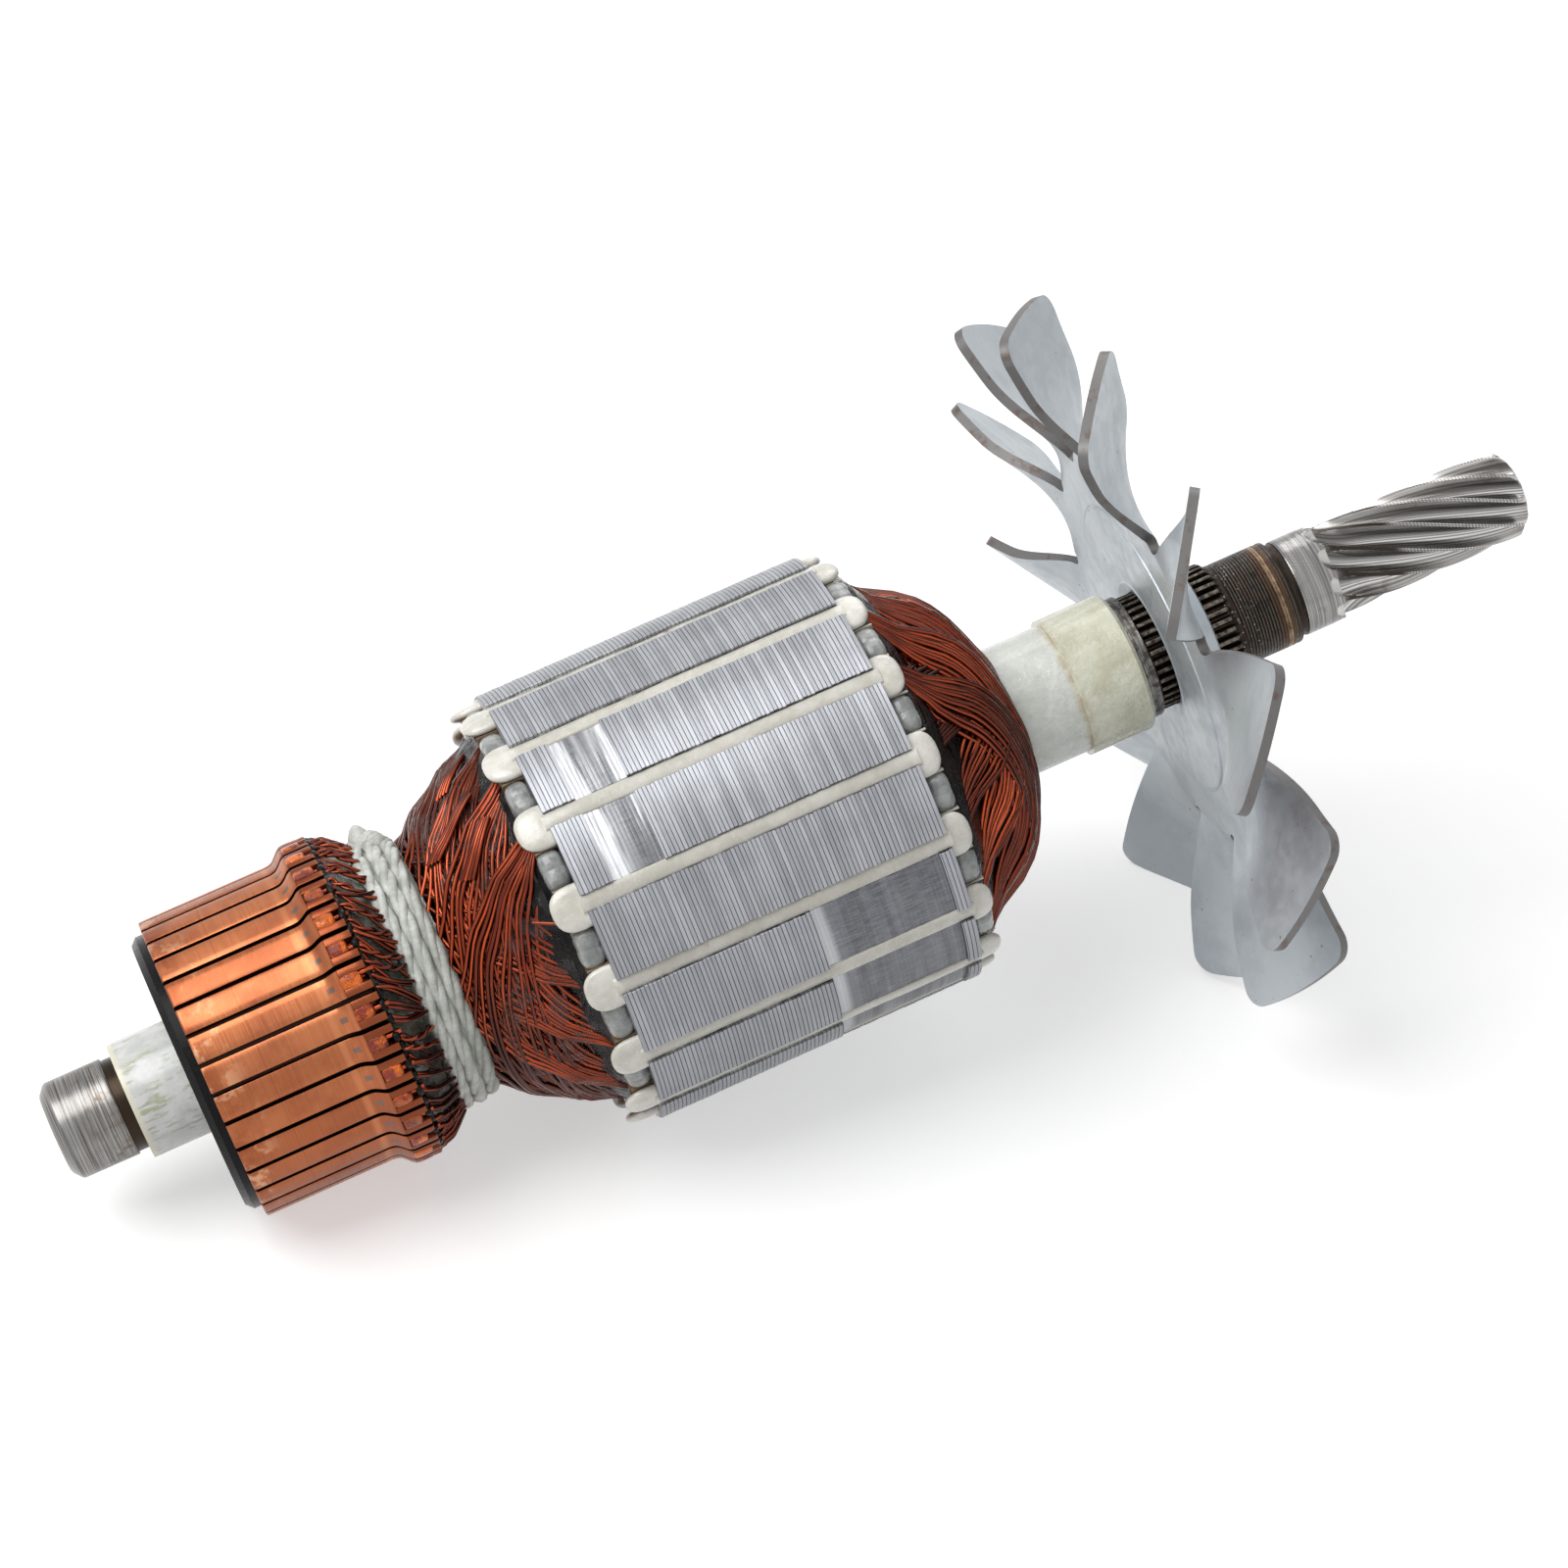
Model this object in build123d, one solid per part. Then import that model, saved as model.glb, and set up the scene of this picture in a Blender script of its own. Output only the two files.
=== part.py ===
from build123d import *
from math import atan2, cos, degrees, pi, radians, sin, tan
import os

os.makedirs("parts", exist_ok=True)

# Motor armature, all sizes in millimetres.
# It is drawn along X, with X = 0 at the commutator end of the laminated core and the pinion at +X.
# Angles run about X from straight up, +Z turning towards -Y. Single pieces are drawn at +Y first.

# Laminated core
core_length = 41.0
core_radius = 27.0
slot_count = 16
slot_phase = 1.5
slot_opening = 2.0
slot_lip = 1.0
slot_depth = 9.4
slot_floor_width = 1.9
flat_depth = 0.6
flat_edge = 0.5
front_flat_inset = 4.0
front_flat_length = 6.4
front_flat_teeth = (12.75, 35.25)
rear_flat_inset = 1.7
rear_flat_length = 16.1
rear_flat_teeth = (80.25, 102.75, 125.25)

# Slot lining, wedges and end insulators
liner_wall = 0.25
end_plate = 2.6
wedge_thickness = 1.0
wedge_width = 5.3
wedge_corner = 1.6
wedge_front_reach = 3.5
wedge_rear_reach = 2.6
rib_clearance = 0.25

# Winding heads
head_inset = 0.8
front_head_length = 13.0
front_head_lip = 0.8
front_head_turn = 26.0
rear_head_length = 13.8
rear_head_lip = 1.1
rear_head_turn = 50.0
bundle_depth = 1.1

# Commutator, from the winding outwards
cone_length = 3.5
riser_length = 3.4
riser_height = 1.5
riser_slot = 1.5
riser_slot_depth = 2.2
ramp_length = 2.1
track_length = 16.15
bar_count = 32
bar_phase = 5.07
bar_gap_angle = 1.85
bar_radius = 18.6
bar_depth = 4.4
web_depth = 0.9
flange_width = 1.75
flange_depth = 1.4
flange_corner = 0.8

# Lead wires and twine
lead_depth = 0.6
lead_turn = 9.0
cone_drop = 0.9
neck_radius = 15.3
band_width = 5.7
band_turns = 3
band_sides = 24
twine_depth = 1.65
twine_groove = 0.6
knot_angle = -33.0
knot_radius = 1.9
knot_height = 2.45
knot_offset = 1.05

# Shaft, commutator end
body_radius = 6.2
seat_radius = 6.0
front_seat_length = 8.0
seat_corner = 1.0
relief_width = 1.4
relief_depth = 0.3

# Shaft, pinion end
collar_width = 1.7
collar_height = 0.4
spline_radius = 7.2
spline_depth = 0.7
spline_length = 10.9
spline_count = 36
turned_radius = 6.45
turned_length = 8.0
groove_width = 0.9
groove_depth = 0.2
rear_seat_length = 5.0

# Helical pinion cut in the shaft
pinion_length = 25.7
pinion_teeth = 10
pinion_tip = 5.5
tooth_height = 1.5
tooth_root_half = 13.0
tooth_tip_half = 3.0
pinion_turn = 4.93
pinion_phase = 0.3
pinion_run_in = 3.2
pinion_chamfer = 1.2
pinion_steps = 4

# Insulating tubes on the shaft
front_tube_wall = 0.9
front_tube_reach = 7.3
rear_tube_wall = 1.9
rear_tube_length = 7.0
rear_tube_extra = 0.55
rear_tube_wide_length = 8.3
rear_tube_corner = 0.5

# Fan
fan_setback = 1.85
sheet = 1.2
fan_blades = 12
fan_phase = 5.3
fan_radius = 44.5
slit_radius = 24.2
fan_neck_wall = 1.3
fan_neck_length = 4.75
blade_overlap = 2.7
blade_root_half = 5.35
blade_tip_half = 9.3
blade_pitch = 32.0
blade_twist_length = 11.8
blade_lean = 1.0
blade_corner = 1.8

slot_step = 360 / slot_count
bar_step = 360 / bar_count
bar_angle = bar_step - bar_gap_angle
blade_step = 360 / fan_blades
axis_line = Axis.X

# Radii that follow from the sizes above
wedge_top = core_radius - slot_lip
wedge_seat = wedge_top - wedge_thickness
slot_floor = wedge_seat - slot_depth
slot_floor_half = slot_floor_width / 2
front_tube_radius = body_radius + front_tube_wall
rear_tube_radius = body_radius + rear_tube_wall
riser_radius = bar_radius + riser_height
band_radius = neck_radius + twine_depth

# Places along the shaft, from the core towards the commutator
front_plate = -end_plate
neck_end = front_plate - front_head_length
band_start = neck_end - band_width
bar_end = band_start - cone_length
riser_start = bar_end - riser_length
ramp_start = riser_start - ramp_length
bar_start = ramp_start - track_length
hub_start = bar_start - flange_width
tube_start = hub_start - front_tube_reach
seat_end = tube_start - relief_width
shaft_start = seat_end - front_seat_length

# Places along the shaft, from the core towards the pinion
rear_plate = core_length + end_plate
rear_head_end = rear_plate + rear_head_length
rear_tube_step = rear_head_end + rear_tube_length
collar_start = rear_tube_step + rear_tube_wide_length
spline_start = collar_start + collar_width
fan_face = spline_start + fan_setback
spline_end = spline_start + spline_length
turned_end = spline_end + turned_length
groove_end = turned_end + groove_width
pinion_start = groove_end + rear_seat_length
shaft_end = pinion_start + pinion_length


def turned(points, arc=360):
    """A piece turned on the shaft axis from its (X, radius) outline."""
    outline = make_face(Polyline(*points, close=True))
    return revolve(outline, axis=axis_line, revolution_arc=arc)


def rod(start, end, radius):
    """A plain round rod on the shaft axis."""
    return turned([(start, 0), (start, radius), (end, radius), (end, 0)])


def at_angle(piece, angle):
    """A piece drawn at +Y, turned to an angle from straight up."""
    return Rot(X=angle + 90) * piece


def ring_points(x, radii, turn):
    """A closed outline round the axis at X, one point for each radius."""
    points = []
    for index, radius in enumerate(radii):
        angle = radians(360 * index / len(radii) + turn)
        points.append((x, radius * cos(angle), radius * sin(angle)))
    return points


def flat_end(ring):
    """One flat face across a ring."""
    return [Face(Wire.make_polygon(ring))]


def bent_end(ring):
    """Triangles across a ring that doesn't lie flat, from its one long side to the other."""
    faces = []
    for index in range(len(ring) // 2 - 1):
        across = len(ring) - 1 - index
        faces.append(Face(Wire.make_polygon([ring[index], ring[index + 1], ring[across - 1]])))
        faces.append(Face(Wire.make_polygon([ring[index], ring[across - 1], ring[across]])))
    return faces


def faceted(rings, end=flat_end):
    """A solid with flat facets through rings of points, each facet a triangle."""
    faces = end(rings[0]) + end(rings[-1])
    for low, high in zip(rings, rings[1:]):
        for index in range(len(low)):
            after = (index + 1) % len(low)
            faces.append(Face(Wire.make_polygon([low[index], low[after], high[after]])))
            faces.append(Face(Wire.make_polygon([low[index], high[after], high[index]])))
    return Part() + Solid(Shell(faces))


def twisted(stations):
    """A body through closed outlines round the axis, given as (X, radii, turn)."""
    return faceted([ring_points(x, radii, turn) for x, radii, turn in stations])


# Sections are drawn flat, as (radius, sideways), and then stood across the shaft
slot_taper = (wedge_width / 2 - slot_floor_half) / (wedge_seat - slot_floor)


def slot_body(inset, top):
    """The tapering slot from its floor up to a radius, drawn in by an even inset."""
    floor = slot_floor + inset
    floor_half = slot_floor_half + slot_taper * inset - inset
    top_half = slot_floor_half + slot_taper * (top - slot_floor) - inset
    lower = [(floor, -floor_half), (top, -top_half)]
    upper = [(top, top_half), (floor, floor_half)]
    return make_face(Polyline(*lower, *upper, close=True))


def every_slot(outline):
    """The same flat outline in every slot."""
    bearings = [slot_phase + 90 + slot_step * n for n in range(slot_count)]
    return [Rot(Z=bearing) * outline for bearing in bearings]


def prism(section, start, length):
    """A flat section stood across the shaft at X and drawn out along it."""
    return Pos(start, 0, 0) * extrude(Plane.YZ * section, length, dir=(1, 0, 0))


opening_reach = core_radius + slot_lip
opening = Pos((opening_reach + wedge_top) / 2, 0) * Rectangle(opening_reach - wedge_top, slot_opening)
wedge_room = Pos((wedge_top + wedge_seat) / 2, 0) * Rectangle(wedge_thickness, wedge_width)
core_slot = slot_body(0, wedge_seat) + wedge_room + opening
lamination = Circle(core_radius) - Circle(rear_tube_radius)
laminated_core = prism(lamination - every_slot(core_slot), 0, core_length)


# Balancing flats milled on some teeth
def flat_cutter(start, length, tooth_angle):
    """A shallow sector over one tooth."""
    floor = core_radius - flat_depth
    reach = core_radius + flat_depth
    end = start + length
    outline = [(start, floor), (end, floor), (end, reach), (start, reach)]
    arc = slot_step - 2 * flat_edge
    return Rot(X=tooth_angle + 90 - arc / 2) * turned(outline, arc)


rear_flat_start = core_length - rear_flat_inset - rear_flat_length
cutters = [flat_cutter(front_flat_inset, front_flat_length, angle) for angle in front_flat_teeth]
cutters += [flat_cutter(rear_flat_start, rear_flat_length, angle) for angle in rear_flat_teeth]
laminated_core -= cutters


# Insulating end plates, shaped like a lamination
star_half = slot_step / 2
star_side = wedge_seat * tan(radians(star_half))
star_arm = make_face(Polyline((0, 0), (wedge_seat, -star_side), (wedge_seat, star_side), close=True))
star_arm -= Circle(rear_tube_radius)
star_slot = slot_body(0, wedge_seat * 1.1)
star_arm -= [Rot(Z=-star_half) * star_slot, Rot(Z=star_half) * star_slot]
star_bearings = [slot_phase + 90 + slot_step * (n + 0.5) for n in range(slot_count)]
star_arms = [Rot(Z=bearing) * star_arm for bearing in star_bearings]
star = star_arms[0] + star_arms[1:]
commutator_end_insulator = prism(star, front_plate, end_plate)
fan_end_insulator = prism(star, core_length, end_plate)

# Slot liners, folded round three sides of each slot
liner_section = slot_body(0, wedge_seat) - slot_body(liner_wall, wedge_seat)
liner_length = core_length + 2 * end_plate
liners = [prism(liner, front_plate, liner_length) for liner in every_slot(liner_section)]
slot_liners = liners[0] + liners[1:]

# Slot wedge, a strip with a rib in the slot opening and cut corners at both ends
wedge_length = wedge_front_reach + core_length + wedge_rear_reach
wedge_middle = wedge_length / 2 - wedge_front_reach
wedge_outline = chamfer(Rectangle(wedge_length, wedge_width).vertices(), wedge_corner)
wedge_plane = Plane((wedge_middle, wedge_seat, 0), x_dir=(1, 0, 0), z_dir=(0, 1, 0))
wedge_strip = extrude(wedge_plane * wedge_outline, wedge_thickness)
rib_height = slot_lip - rib_clearance
wedge_rib = Pos(core_length / 2, wedge_top + rib_height / 2, 0) * Box(core_length, rib_height, slot_opening)
wedge = wedge_strip + wedge_rib


# Winding: two twisted heads joined by the coil sides in the slots
def head(start, end, root_radius, end_radius, turn, form):
    """A winding head from the end plate outwards, one bundle for each slot. The form gives, for shares of
    its length, the share of the way from the end radius to the root radius."""
    stations = []
    for along, share in form:
        radius = end_radius + share * (root_radius - end_radius)
        bundles = [radius, radius - bundle_depth] * slot_count
        stations.append((start + along * (end - start), bundles, turn * along))
    return Rot(X=slot_phase) * twisted(stations)


head_root = wedge_seat - head_inset
front_form = [(0, 1), (0.37, 0.73), (0.74, 0.37), (1, 0)]
rear_form = [(0, 1), (0.16, 0.91), (0.48, 0.69), (0.71, 0.51), (0.88, 0.23), (1, 0)]
front_head_end = neck_radius + front_head_lip
rear_head_top = rear_tube_radius + rear_head_lip
front_head = head(front_plate, neck_end, head_root, front_head_end, front_head_turn, front_form)
front_head -= rod(neck_end, front_plate, front_tube_radius)
rear_head = head(rear_plate, rear_head_end, head_root, rear_head_top, rear_head_turn, rear_form)
rear_head -= rod(rear_plate, rear_head_end, rear_tube_radius)
coil_section = slot_body(liner_wall, wedge_seat)
coil_sides = [prism(coil, front_plate, liner_length) for coil in every_slot(coil_section)]
armature_winding = front_head + rear_head + coil_sides

# Shaft, one turned piece with splines for the fan and a helical pinion
relief_radius = seat_radius - relief_depth
collar_radius = spline_radius + collar_height
spline_root = spline_radius - spline_depth
spline_core = spline_root - 0.1
groove_radius = seat_radius - groove_depth
shaft_outline = [
    (shaft_start, 0),
    (shaft_start, seat_radius - seat_corner),
    (shaft_start + seat_corner, seat_radius),
    (seat_end, seat_radius),
    (seat_end, relief_radius),
    (tube_start, relief_radius),
    (tube_start, body_radius),
    (collar_start, body_radius),
    (collar_start, collar_radius),
    (spline_start, collar_radius),
    (spline_start, spline_core),
    (spline_end, spline_core),
    (spline_end, turned_radius),
    (turned_end, turned_radius),
    (turned_end, groove_radius),
    (groove_end, groove_radius),
    (groove_end, seat_radius),
    (pinion_start, seat_radius),
    (pinion_start, 0),
]
shaft = turned(shaft_outline)

# Serrations that carry the fan
serration_tips = [spline_radius, spline_root] * spline_count
serrations = make_face(Polyline(*ring_points(spline_start, serration_tips, 0), close=True))
shaft += extrude(serrations, spline_length, dir=(1, 0, 0))

# One pinion tooth as (share of the tooth height, angle)
tooth_form = [(0, -tooth_root_half), (1, -tooth_tip_half), (1, tooth_tip_half), (0, tooth_root_half)]


def pinion_outline(x, tip, root):
    """The pinion's outline at X, turned by its helix."""
    turn = pinion_turn * (x - shaft_end)
    points = []
    for tooth in range(pinion_teeth):
        for share, angle in tooth_form:
            radius = root + share * (tip - root)
            bearing = radians(tooth * 360 / pinion_teeth + angle + turn)
            points.append((x, radius * cos(bearing), radius * sin(bearing)))
    return points


pinion_root = pinion_tip - tooth_height
pinion_full = pinion_start + pinion_run_in
pinion_full_end = shaft_end - pinion_chamfer
pinion_sections = [pinion_outline(pinion_start - 0.4, seat_radius - 0.05, seat_radius - 0.6)]
for step in range(pinion_steps + 1):
    station = pinion_full + (pinion_full_end - pinion_full) * step / pinion_steps
    pinion_sections.append(pinion_outline(station, pinion_tip, pinion_root))
pinion_sections.append(pinion_outline(shaft_end, pinion_tip - pinion_chamfer, pinion_root - pinion_chamfer / 3))
shaft += Rot(X=pinion_phase + 90) * faceted(pinion_sections)

# Glass-fibre tube at the commutator end
front_tube_outline = [
    (tube_start, body_radius),
    (tube_start, front_tube_radius),
    (front_plate, front_tube_radius),
    (front_plate, body_radius),
]
commutator_end_tube = turned(front_tube_outline)

# Tube through the core, thicker past its step
rear_tube_wide = rear_tube_radius + rear_tube_extra
rear_tube_outline = [
    (front_plate, body_radius),
    (front_plate, rear_tube_radius),
    (rear_tube_step, rear_tube_radius),
    (rear_tube_step, rear_tube_wide),
    (collar_start - rear_tube_corner, rear_tube_wide),
    (collar_start, rear_tube_wide - rear_tube_corner),
    (collar_start, body_radius),
]
fan_end_tube = turned(rear_tube_outline)

# Commutator bar with its riser, turned outside and flat underneath
bar_inner = bar_radius - bar_depth
bar_length = bar_end - bar_start
bar_outline = [
    (bar_start, 0),
    (bar_start, bar_radius),
    (ramp_start, bar_radius),
    (riser_start, riser_radius),
    (bar_end, riser_radius),
    (bar_end, 0),
]
under_bar = Box(bar_length, bar_inner, bar_inner, align=(Align.MIN, Align.MIN, Align.CENTER))
bar = Rot(X=-bar_angle / 2) * turned(bar_outline, bar_angle) - Pos(bar_start, 0, 0) * under_bar
riser_slot_floor = riser_radius - riser_slot_depth
riser_cut = Box(riser_length, riser_radius, riser_slot, align=(Align.MIN, Align.MIN, Align.CENTER))
slotted_bar = bar - Pos(riser_start, riser_slot_floor, 0) * riser_cut
bar_angles = [bar_phase + bar_step * n for n in range(bar_count)]

# Moulded hub that holds the bars apart
web_radius = bar_radius - web_depth
flange_radius = bar_radius - flange_depth
hub_outline = [
    (hub_start, front_tube_radius),
    (hub_start, flange_radius - flange_corner),
    (hub_start + flange_corner, flange_radius),
    (bar_start, flange_radius),
    (bar_start, front_tube_radius),
]
web_width = 2 * bar_inner * tan(radians(bar_gap_angle / 2))
web_root = bar_inner - web_depth
web = Pos((web_root + web_radius) / 2, 0) * Rectangle(web_radius - web_root, web_width)
webs = [Rot(Z=angle + 90 + bar_step / 2) * web for angle in bar_angles]
bar_seat = RegularPolygon(bar_inner, bar_count, major_radius=False)
barrel = Rot(Z=bar_phase + 90 + bar_step / 2) * bar_seat + webs - Circle(front_tube_radius)
commutator_hub = turned(hub_outline) + prism(barrel, bar_start, bar_length)

# Resin-filled cone behind the risers, ridged by the lead wires and twisted with them
cone_wide = riser_radius - cone_drop
cone_narrow = band_radius - lead_depth / 2


def lead_station(along):
    """The cone's outline at a share of its length, one ridge for each lead."""
    radius = cone_wide + (cone_narrow - cone_wide) * along
    ridges = [radius, radius - lead_depth] * bar_count
    return (bar_end + cone_length * along, ridges, bar_phase + lead_turn * along)


lead_wires = twisted([lead_station(0), lead_station(0.5), lead_station(1)])
neck = twisted([(band_start, [neck_radius] * band_sides, 0), (neck_end, [neck_radius] * band_sides, 0)])
lead_wires += neck
lead_wires -= rod(bar_end, neck_end, front_tube_radius)

# Twine wound round the neck, with the tail of its knot
band_step = band_width / band_turns
band_valley = band_radius - twine_groove
band_stations = [(band_start, [band_valley] * band_sides, 0)]
for turn_index in range(band_turns):
    turn_start = band_start + band_step * turn_index
    band_stations.append((turn_start + 0.5 * band_step, [band_radius] * band_sides, 0))
    band_stations.append((turn_start + band_step, [band_valley] * band_sides, 0))
twine_band = twisted(band_stations) - neck
knot_middle = (band_start + neck_end) / 2 + knot_offset
knot_base = neck_radius + twine_groove
knot_top = band_radius + knot_height
knot_foot = ring_points(0, [knot_radius] * 6, 0)
knot_peak = ring_points(0, [knot_radius / 5] * 6, 0)
knot_rings = [[(knot_middle + y, knot_base, z) for _, y, z in knot_foot]]
knot_rings += [[(knot_middle + y, knot_top, z) for _, y, z in knot_peak]]
twine_band += at_angle(faceted(knot_rings), knot_angle)

# Stamped fan: a flat centre, a drawn neck and twisted blades
fan_mid = fan_face + sheet / 2
fan_back = fan_face + sheet
fan_neck_radius = spline_radius + fan_neck_wall
fan_neck_end = fan_back + fan_neck_length
fan_outline = [
    (fan_face, spline_radius),
    (fan_face, slit_radius),
    (fan_back, slit_radius),
    (fan_back, fan_neck_radius),
    (fan_neck_end, fan_neck_radius),
    (fan_neck_end, spline_radius),
]
fan_disc = turned(fan_outline)


def blade_section(radius, corner):
    """Points round the sheet's section at a radius, on an arc about the shaft, turned by the pitch there."""
    share = min(max((radius - slit_radius) / blade_twist_length, 0), 1)
    pitch = radians(blade_pitch) * sin(pi / 2 * share)
    along = max((radius - slit_radius) / (fan_radius - slit_radius), 0)
    half = blade_root_half + (blade_tip_half - blade_root_half) * along - corner
    middle = fan_mid - blade_lean * along
    points = []
    for side, shares in ((-1, (-1, 0, 1)), (1, (1, 0, -1))):
        for across in shares:
            chord = half * across
            x = middle - chord * sin(pitch) + side * cos(pitch) * sheet / 2
            z = chord * cos(pitch) + side * sin(pitch) * sheet / 2
            points.append((x, (radius**2 - chord**2) ** 0.5, z))
    return points


blade_places = [slit_radius + blade_twist_length * share for share in (0, 0.24, 0.55, 1)]
blade_sections = [blade_section(slit_radius - blade_overlap, 0)]
blade_sections += [blade_section(radius, 0) for radius in blade_places]
blade_sections += [blade_section(fan_radius - blade_corner, 0), blade_section(fan_radius, blade_corner)]
blade = faceted(blade_sections, bent_end)
fan = fan_disc + [at_angle(blade, fan_phase + blade_step * n) for n in range(fan_blades)]

# The armature lies on the commutator's rim and the tips of two fan blades
rim = at_angle(bar, 180 - bar_angle / 2)
contact_span = fan_mid - blade_tip_half * sin(radians(blade_pitch)) - bar_start
lean = degrees(atan2(fan_radius * cos(radians(blade_step / 2)) - bar_radius, contact_span))
for _ in range(4):
    rim_low = (Rot(Y=-lean) * rim).bounding_box().min.Z
    fan_low = (Rot(Y=-lean) * fan).bounding_box().min.Z
    lean += degrees((rim_low - fan_low) / contact_span)
place_tilt = Rot(Y=-lean)
low = (place_tilt * fan).bounding_box().min.Z
shaft_box = (place_tilt * shaft).bounding_box()
middle_x = (shaft_box.min.X + shaft_box.max.X) / 2
fan_box = (place_tilt * fan).bounding_box()
place = Pos(-middle_x, -(fan_box.min.Y + fan_box.max.Y) / 2, -low) * place_tilt
print("lean", lean, "shaft axis height at X = 0", -low, "middle", middle_x)


def save(name, piece):
    """Places a node and writes it."""
    placed = place * piece
    placed.label = name
    export_step(placed, "parts/" + name + ".step")


save("shaft", shaft)
save("commutator_end_tube", commutator_end_tube)
save("fan_end_tube", fan_end_tube)
save("commutator_hub", commutator_hub)
for index, angle in enumerate(bar_angles):
    save(f"commutator_bar_{index + 1:02d}", at_angle(slotted_bar, angle))
save("lead_wires", lead_wires)
save("twine_band", twine_band)
save("armature_winding", armature_winding)
save("commutator_end_insulator", commutator_end_insulator)
save("fan_end_insulator", fan_end_insulator)
save("laminated_core", laminated_core)
save("slot_liners", slot_liners)
for index in range(slot_count):
    save(f"slot_wedge_{index + 1:02d}", at_angle(wedge, slot_phase + slot_step * index))
save("fan", fan)
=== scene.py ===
import bmesh
import bpy
import numpy as np
from math import radians
from mathutils import Matrix, Vector


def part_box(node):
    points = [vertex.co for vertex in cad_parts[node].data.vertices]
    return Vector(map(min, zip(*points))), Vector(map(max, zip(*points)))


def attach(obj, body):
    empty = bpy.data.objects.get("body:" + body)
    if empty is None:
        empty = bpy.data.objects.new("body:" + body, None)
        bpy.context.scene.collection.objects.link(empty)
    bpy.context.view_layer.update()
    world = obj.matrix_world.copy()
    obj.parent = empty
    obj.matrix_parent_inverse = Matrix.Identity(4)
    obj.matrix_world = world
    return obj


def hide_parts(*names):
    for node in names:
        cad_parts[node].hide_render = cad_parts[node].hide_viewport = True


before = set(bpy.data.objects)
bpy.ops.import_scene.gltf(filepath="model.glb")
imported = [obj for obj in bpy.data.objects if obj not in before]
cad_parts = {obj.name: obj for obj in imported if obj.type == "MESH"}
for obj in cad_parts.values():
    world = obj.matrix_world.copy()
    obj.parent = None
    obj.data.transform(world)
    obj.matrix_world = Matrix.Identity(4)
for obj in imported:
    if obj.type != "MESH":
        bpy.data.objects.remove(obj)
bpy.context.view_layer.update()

MM = 0.001
random = np.random.default_rng(7)

# Along is the distance in millimetres from the core's commutator end, towards the pinion.
# Angles are in degrees from straight up, turning towards -Y. All other sizes are in millimetres.
CORE_LENGTH, SHEETS, SLOTS, SLOT_PHASE = 41.0, 80, 16, 1.5
SHEET_PITCH, SLOT_STEP = CORE_LENGTH / SHEETS, 360 / SLOTS
BARS, BAR_STEP = 32, 360 / 32
BAR_PHASE = -34.3 + BAR_STEP / 2 + BAR_STEP * 3
GROOVES, GROOVES_FROM, GROOVE_PITCH = 17, 85.75, 0.385


# The shaft's own frame
def box_middle(node):
    """The middle of a node's box."""
    low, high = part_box(node)
    return (np.array(low) + np.array(high)) / 2


front_plate = box_middle("commutator_end_insulator")
rear_plate = box_middle("fan_end_insulator")
ALONG = (rear_plate - front_plate) / np.linalg.norm(rear_plate - front_plate)
UP = np.array([-ALONG[2], 0.0, ALONG[0]])
ASIDE = np.array([0.0, -1.0, 0.0])
ORIGIN = (front_plate + rear_plate) / 2 - ALONG * CORE_LENGTH / 2 * MM
LEAN = np.arctan2(ALONG[2], ALONG[0])


def placed(s, r, angle):
    """Points at distance s along the shaft, radius r and an angle in degrees, in metres."""
    s, r, angle = np.broadcast_arrays(*(np.asarray(v, float) for v in (s, r, angle)))
    turn = np.radians(angle)
    y, z = r * np.cos(turn), r * np.sin(turn)
    return ORIGIN + MM * (s[..., None] * ALONG + y[..., None] * UP + z[..., None] * ASIDE)


# Surfaces
def pair(first, second):
    """Two values side by side for every point."""
    return np.stack(np.broadcast_arrays(first, second), axis=-1)


def smooth_step(low, high, value):
    """A rise from 0 at low to 1 at high with level ends."""
    share = np.clip((value - low) / (high - low), 0, 1)
    return share * share * (3 - 2 * share)


def bent(value, power):
    """The value raised to a power, its sign kept."""
    return np.sign(value) * np.abs(value) ** power


def waves(seed, count, *axes, top=6.0):
    """A smooth uneven field: a sum of sine waves of seeded frequency and phase over the given axes."""
    draw = np.random.default_rng(seed)
    total = 0.0
    for _ in range(count):
        phase = draw.uniform(0, 2 * np.pi)
        for axis in axes:
            phase = phase + axis * draw.uniform(-top, top)
        total = total + np.sin(phase)
    return total / np.sqrt(count)


def without_doubled_corners(faces, finish_numbers):
    """Faces after welding: a four-sided face with one pair of corners in one point becomes a triangle, and a
    face with more such pairs is left out."""
    kept, numbers = [], []
    for corners, number in zip(faces, finish_numbers):
        doubled = corners == np.roll(corners, -1, axis=1)
        pairs = doubled.sum(axis=1)
        kept.append(corners[pairs == 0])
        numbers.append(number[pairs == 0])
        if corners.shape[1] == 4:
            kept.append(corners[pairs == 1][~doubled[pairs == 1]].reshape(-1, 3))
            numbers.append(number[pairs == 1])
    return kept, numbers


def tidy_mesh(mesh, outward):
    """Drops faces that closed up to nothing, and turns faces outwards where asked."""
    work = bmesh.new()
    work.from_mesh(mesh)
    bmesh.ops.dissolve_degenerate(work, dist=1e-7, edges=work.edges)
    if outward:
        bmesh.ops.recalc_face_normals(work, faces=work.faces)
    work.to_mesh(mesh)
    work.free()


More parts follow.
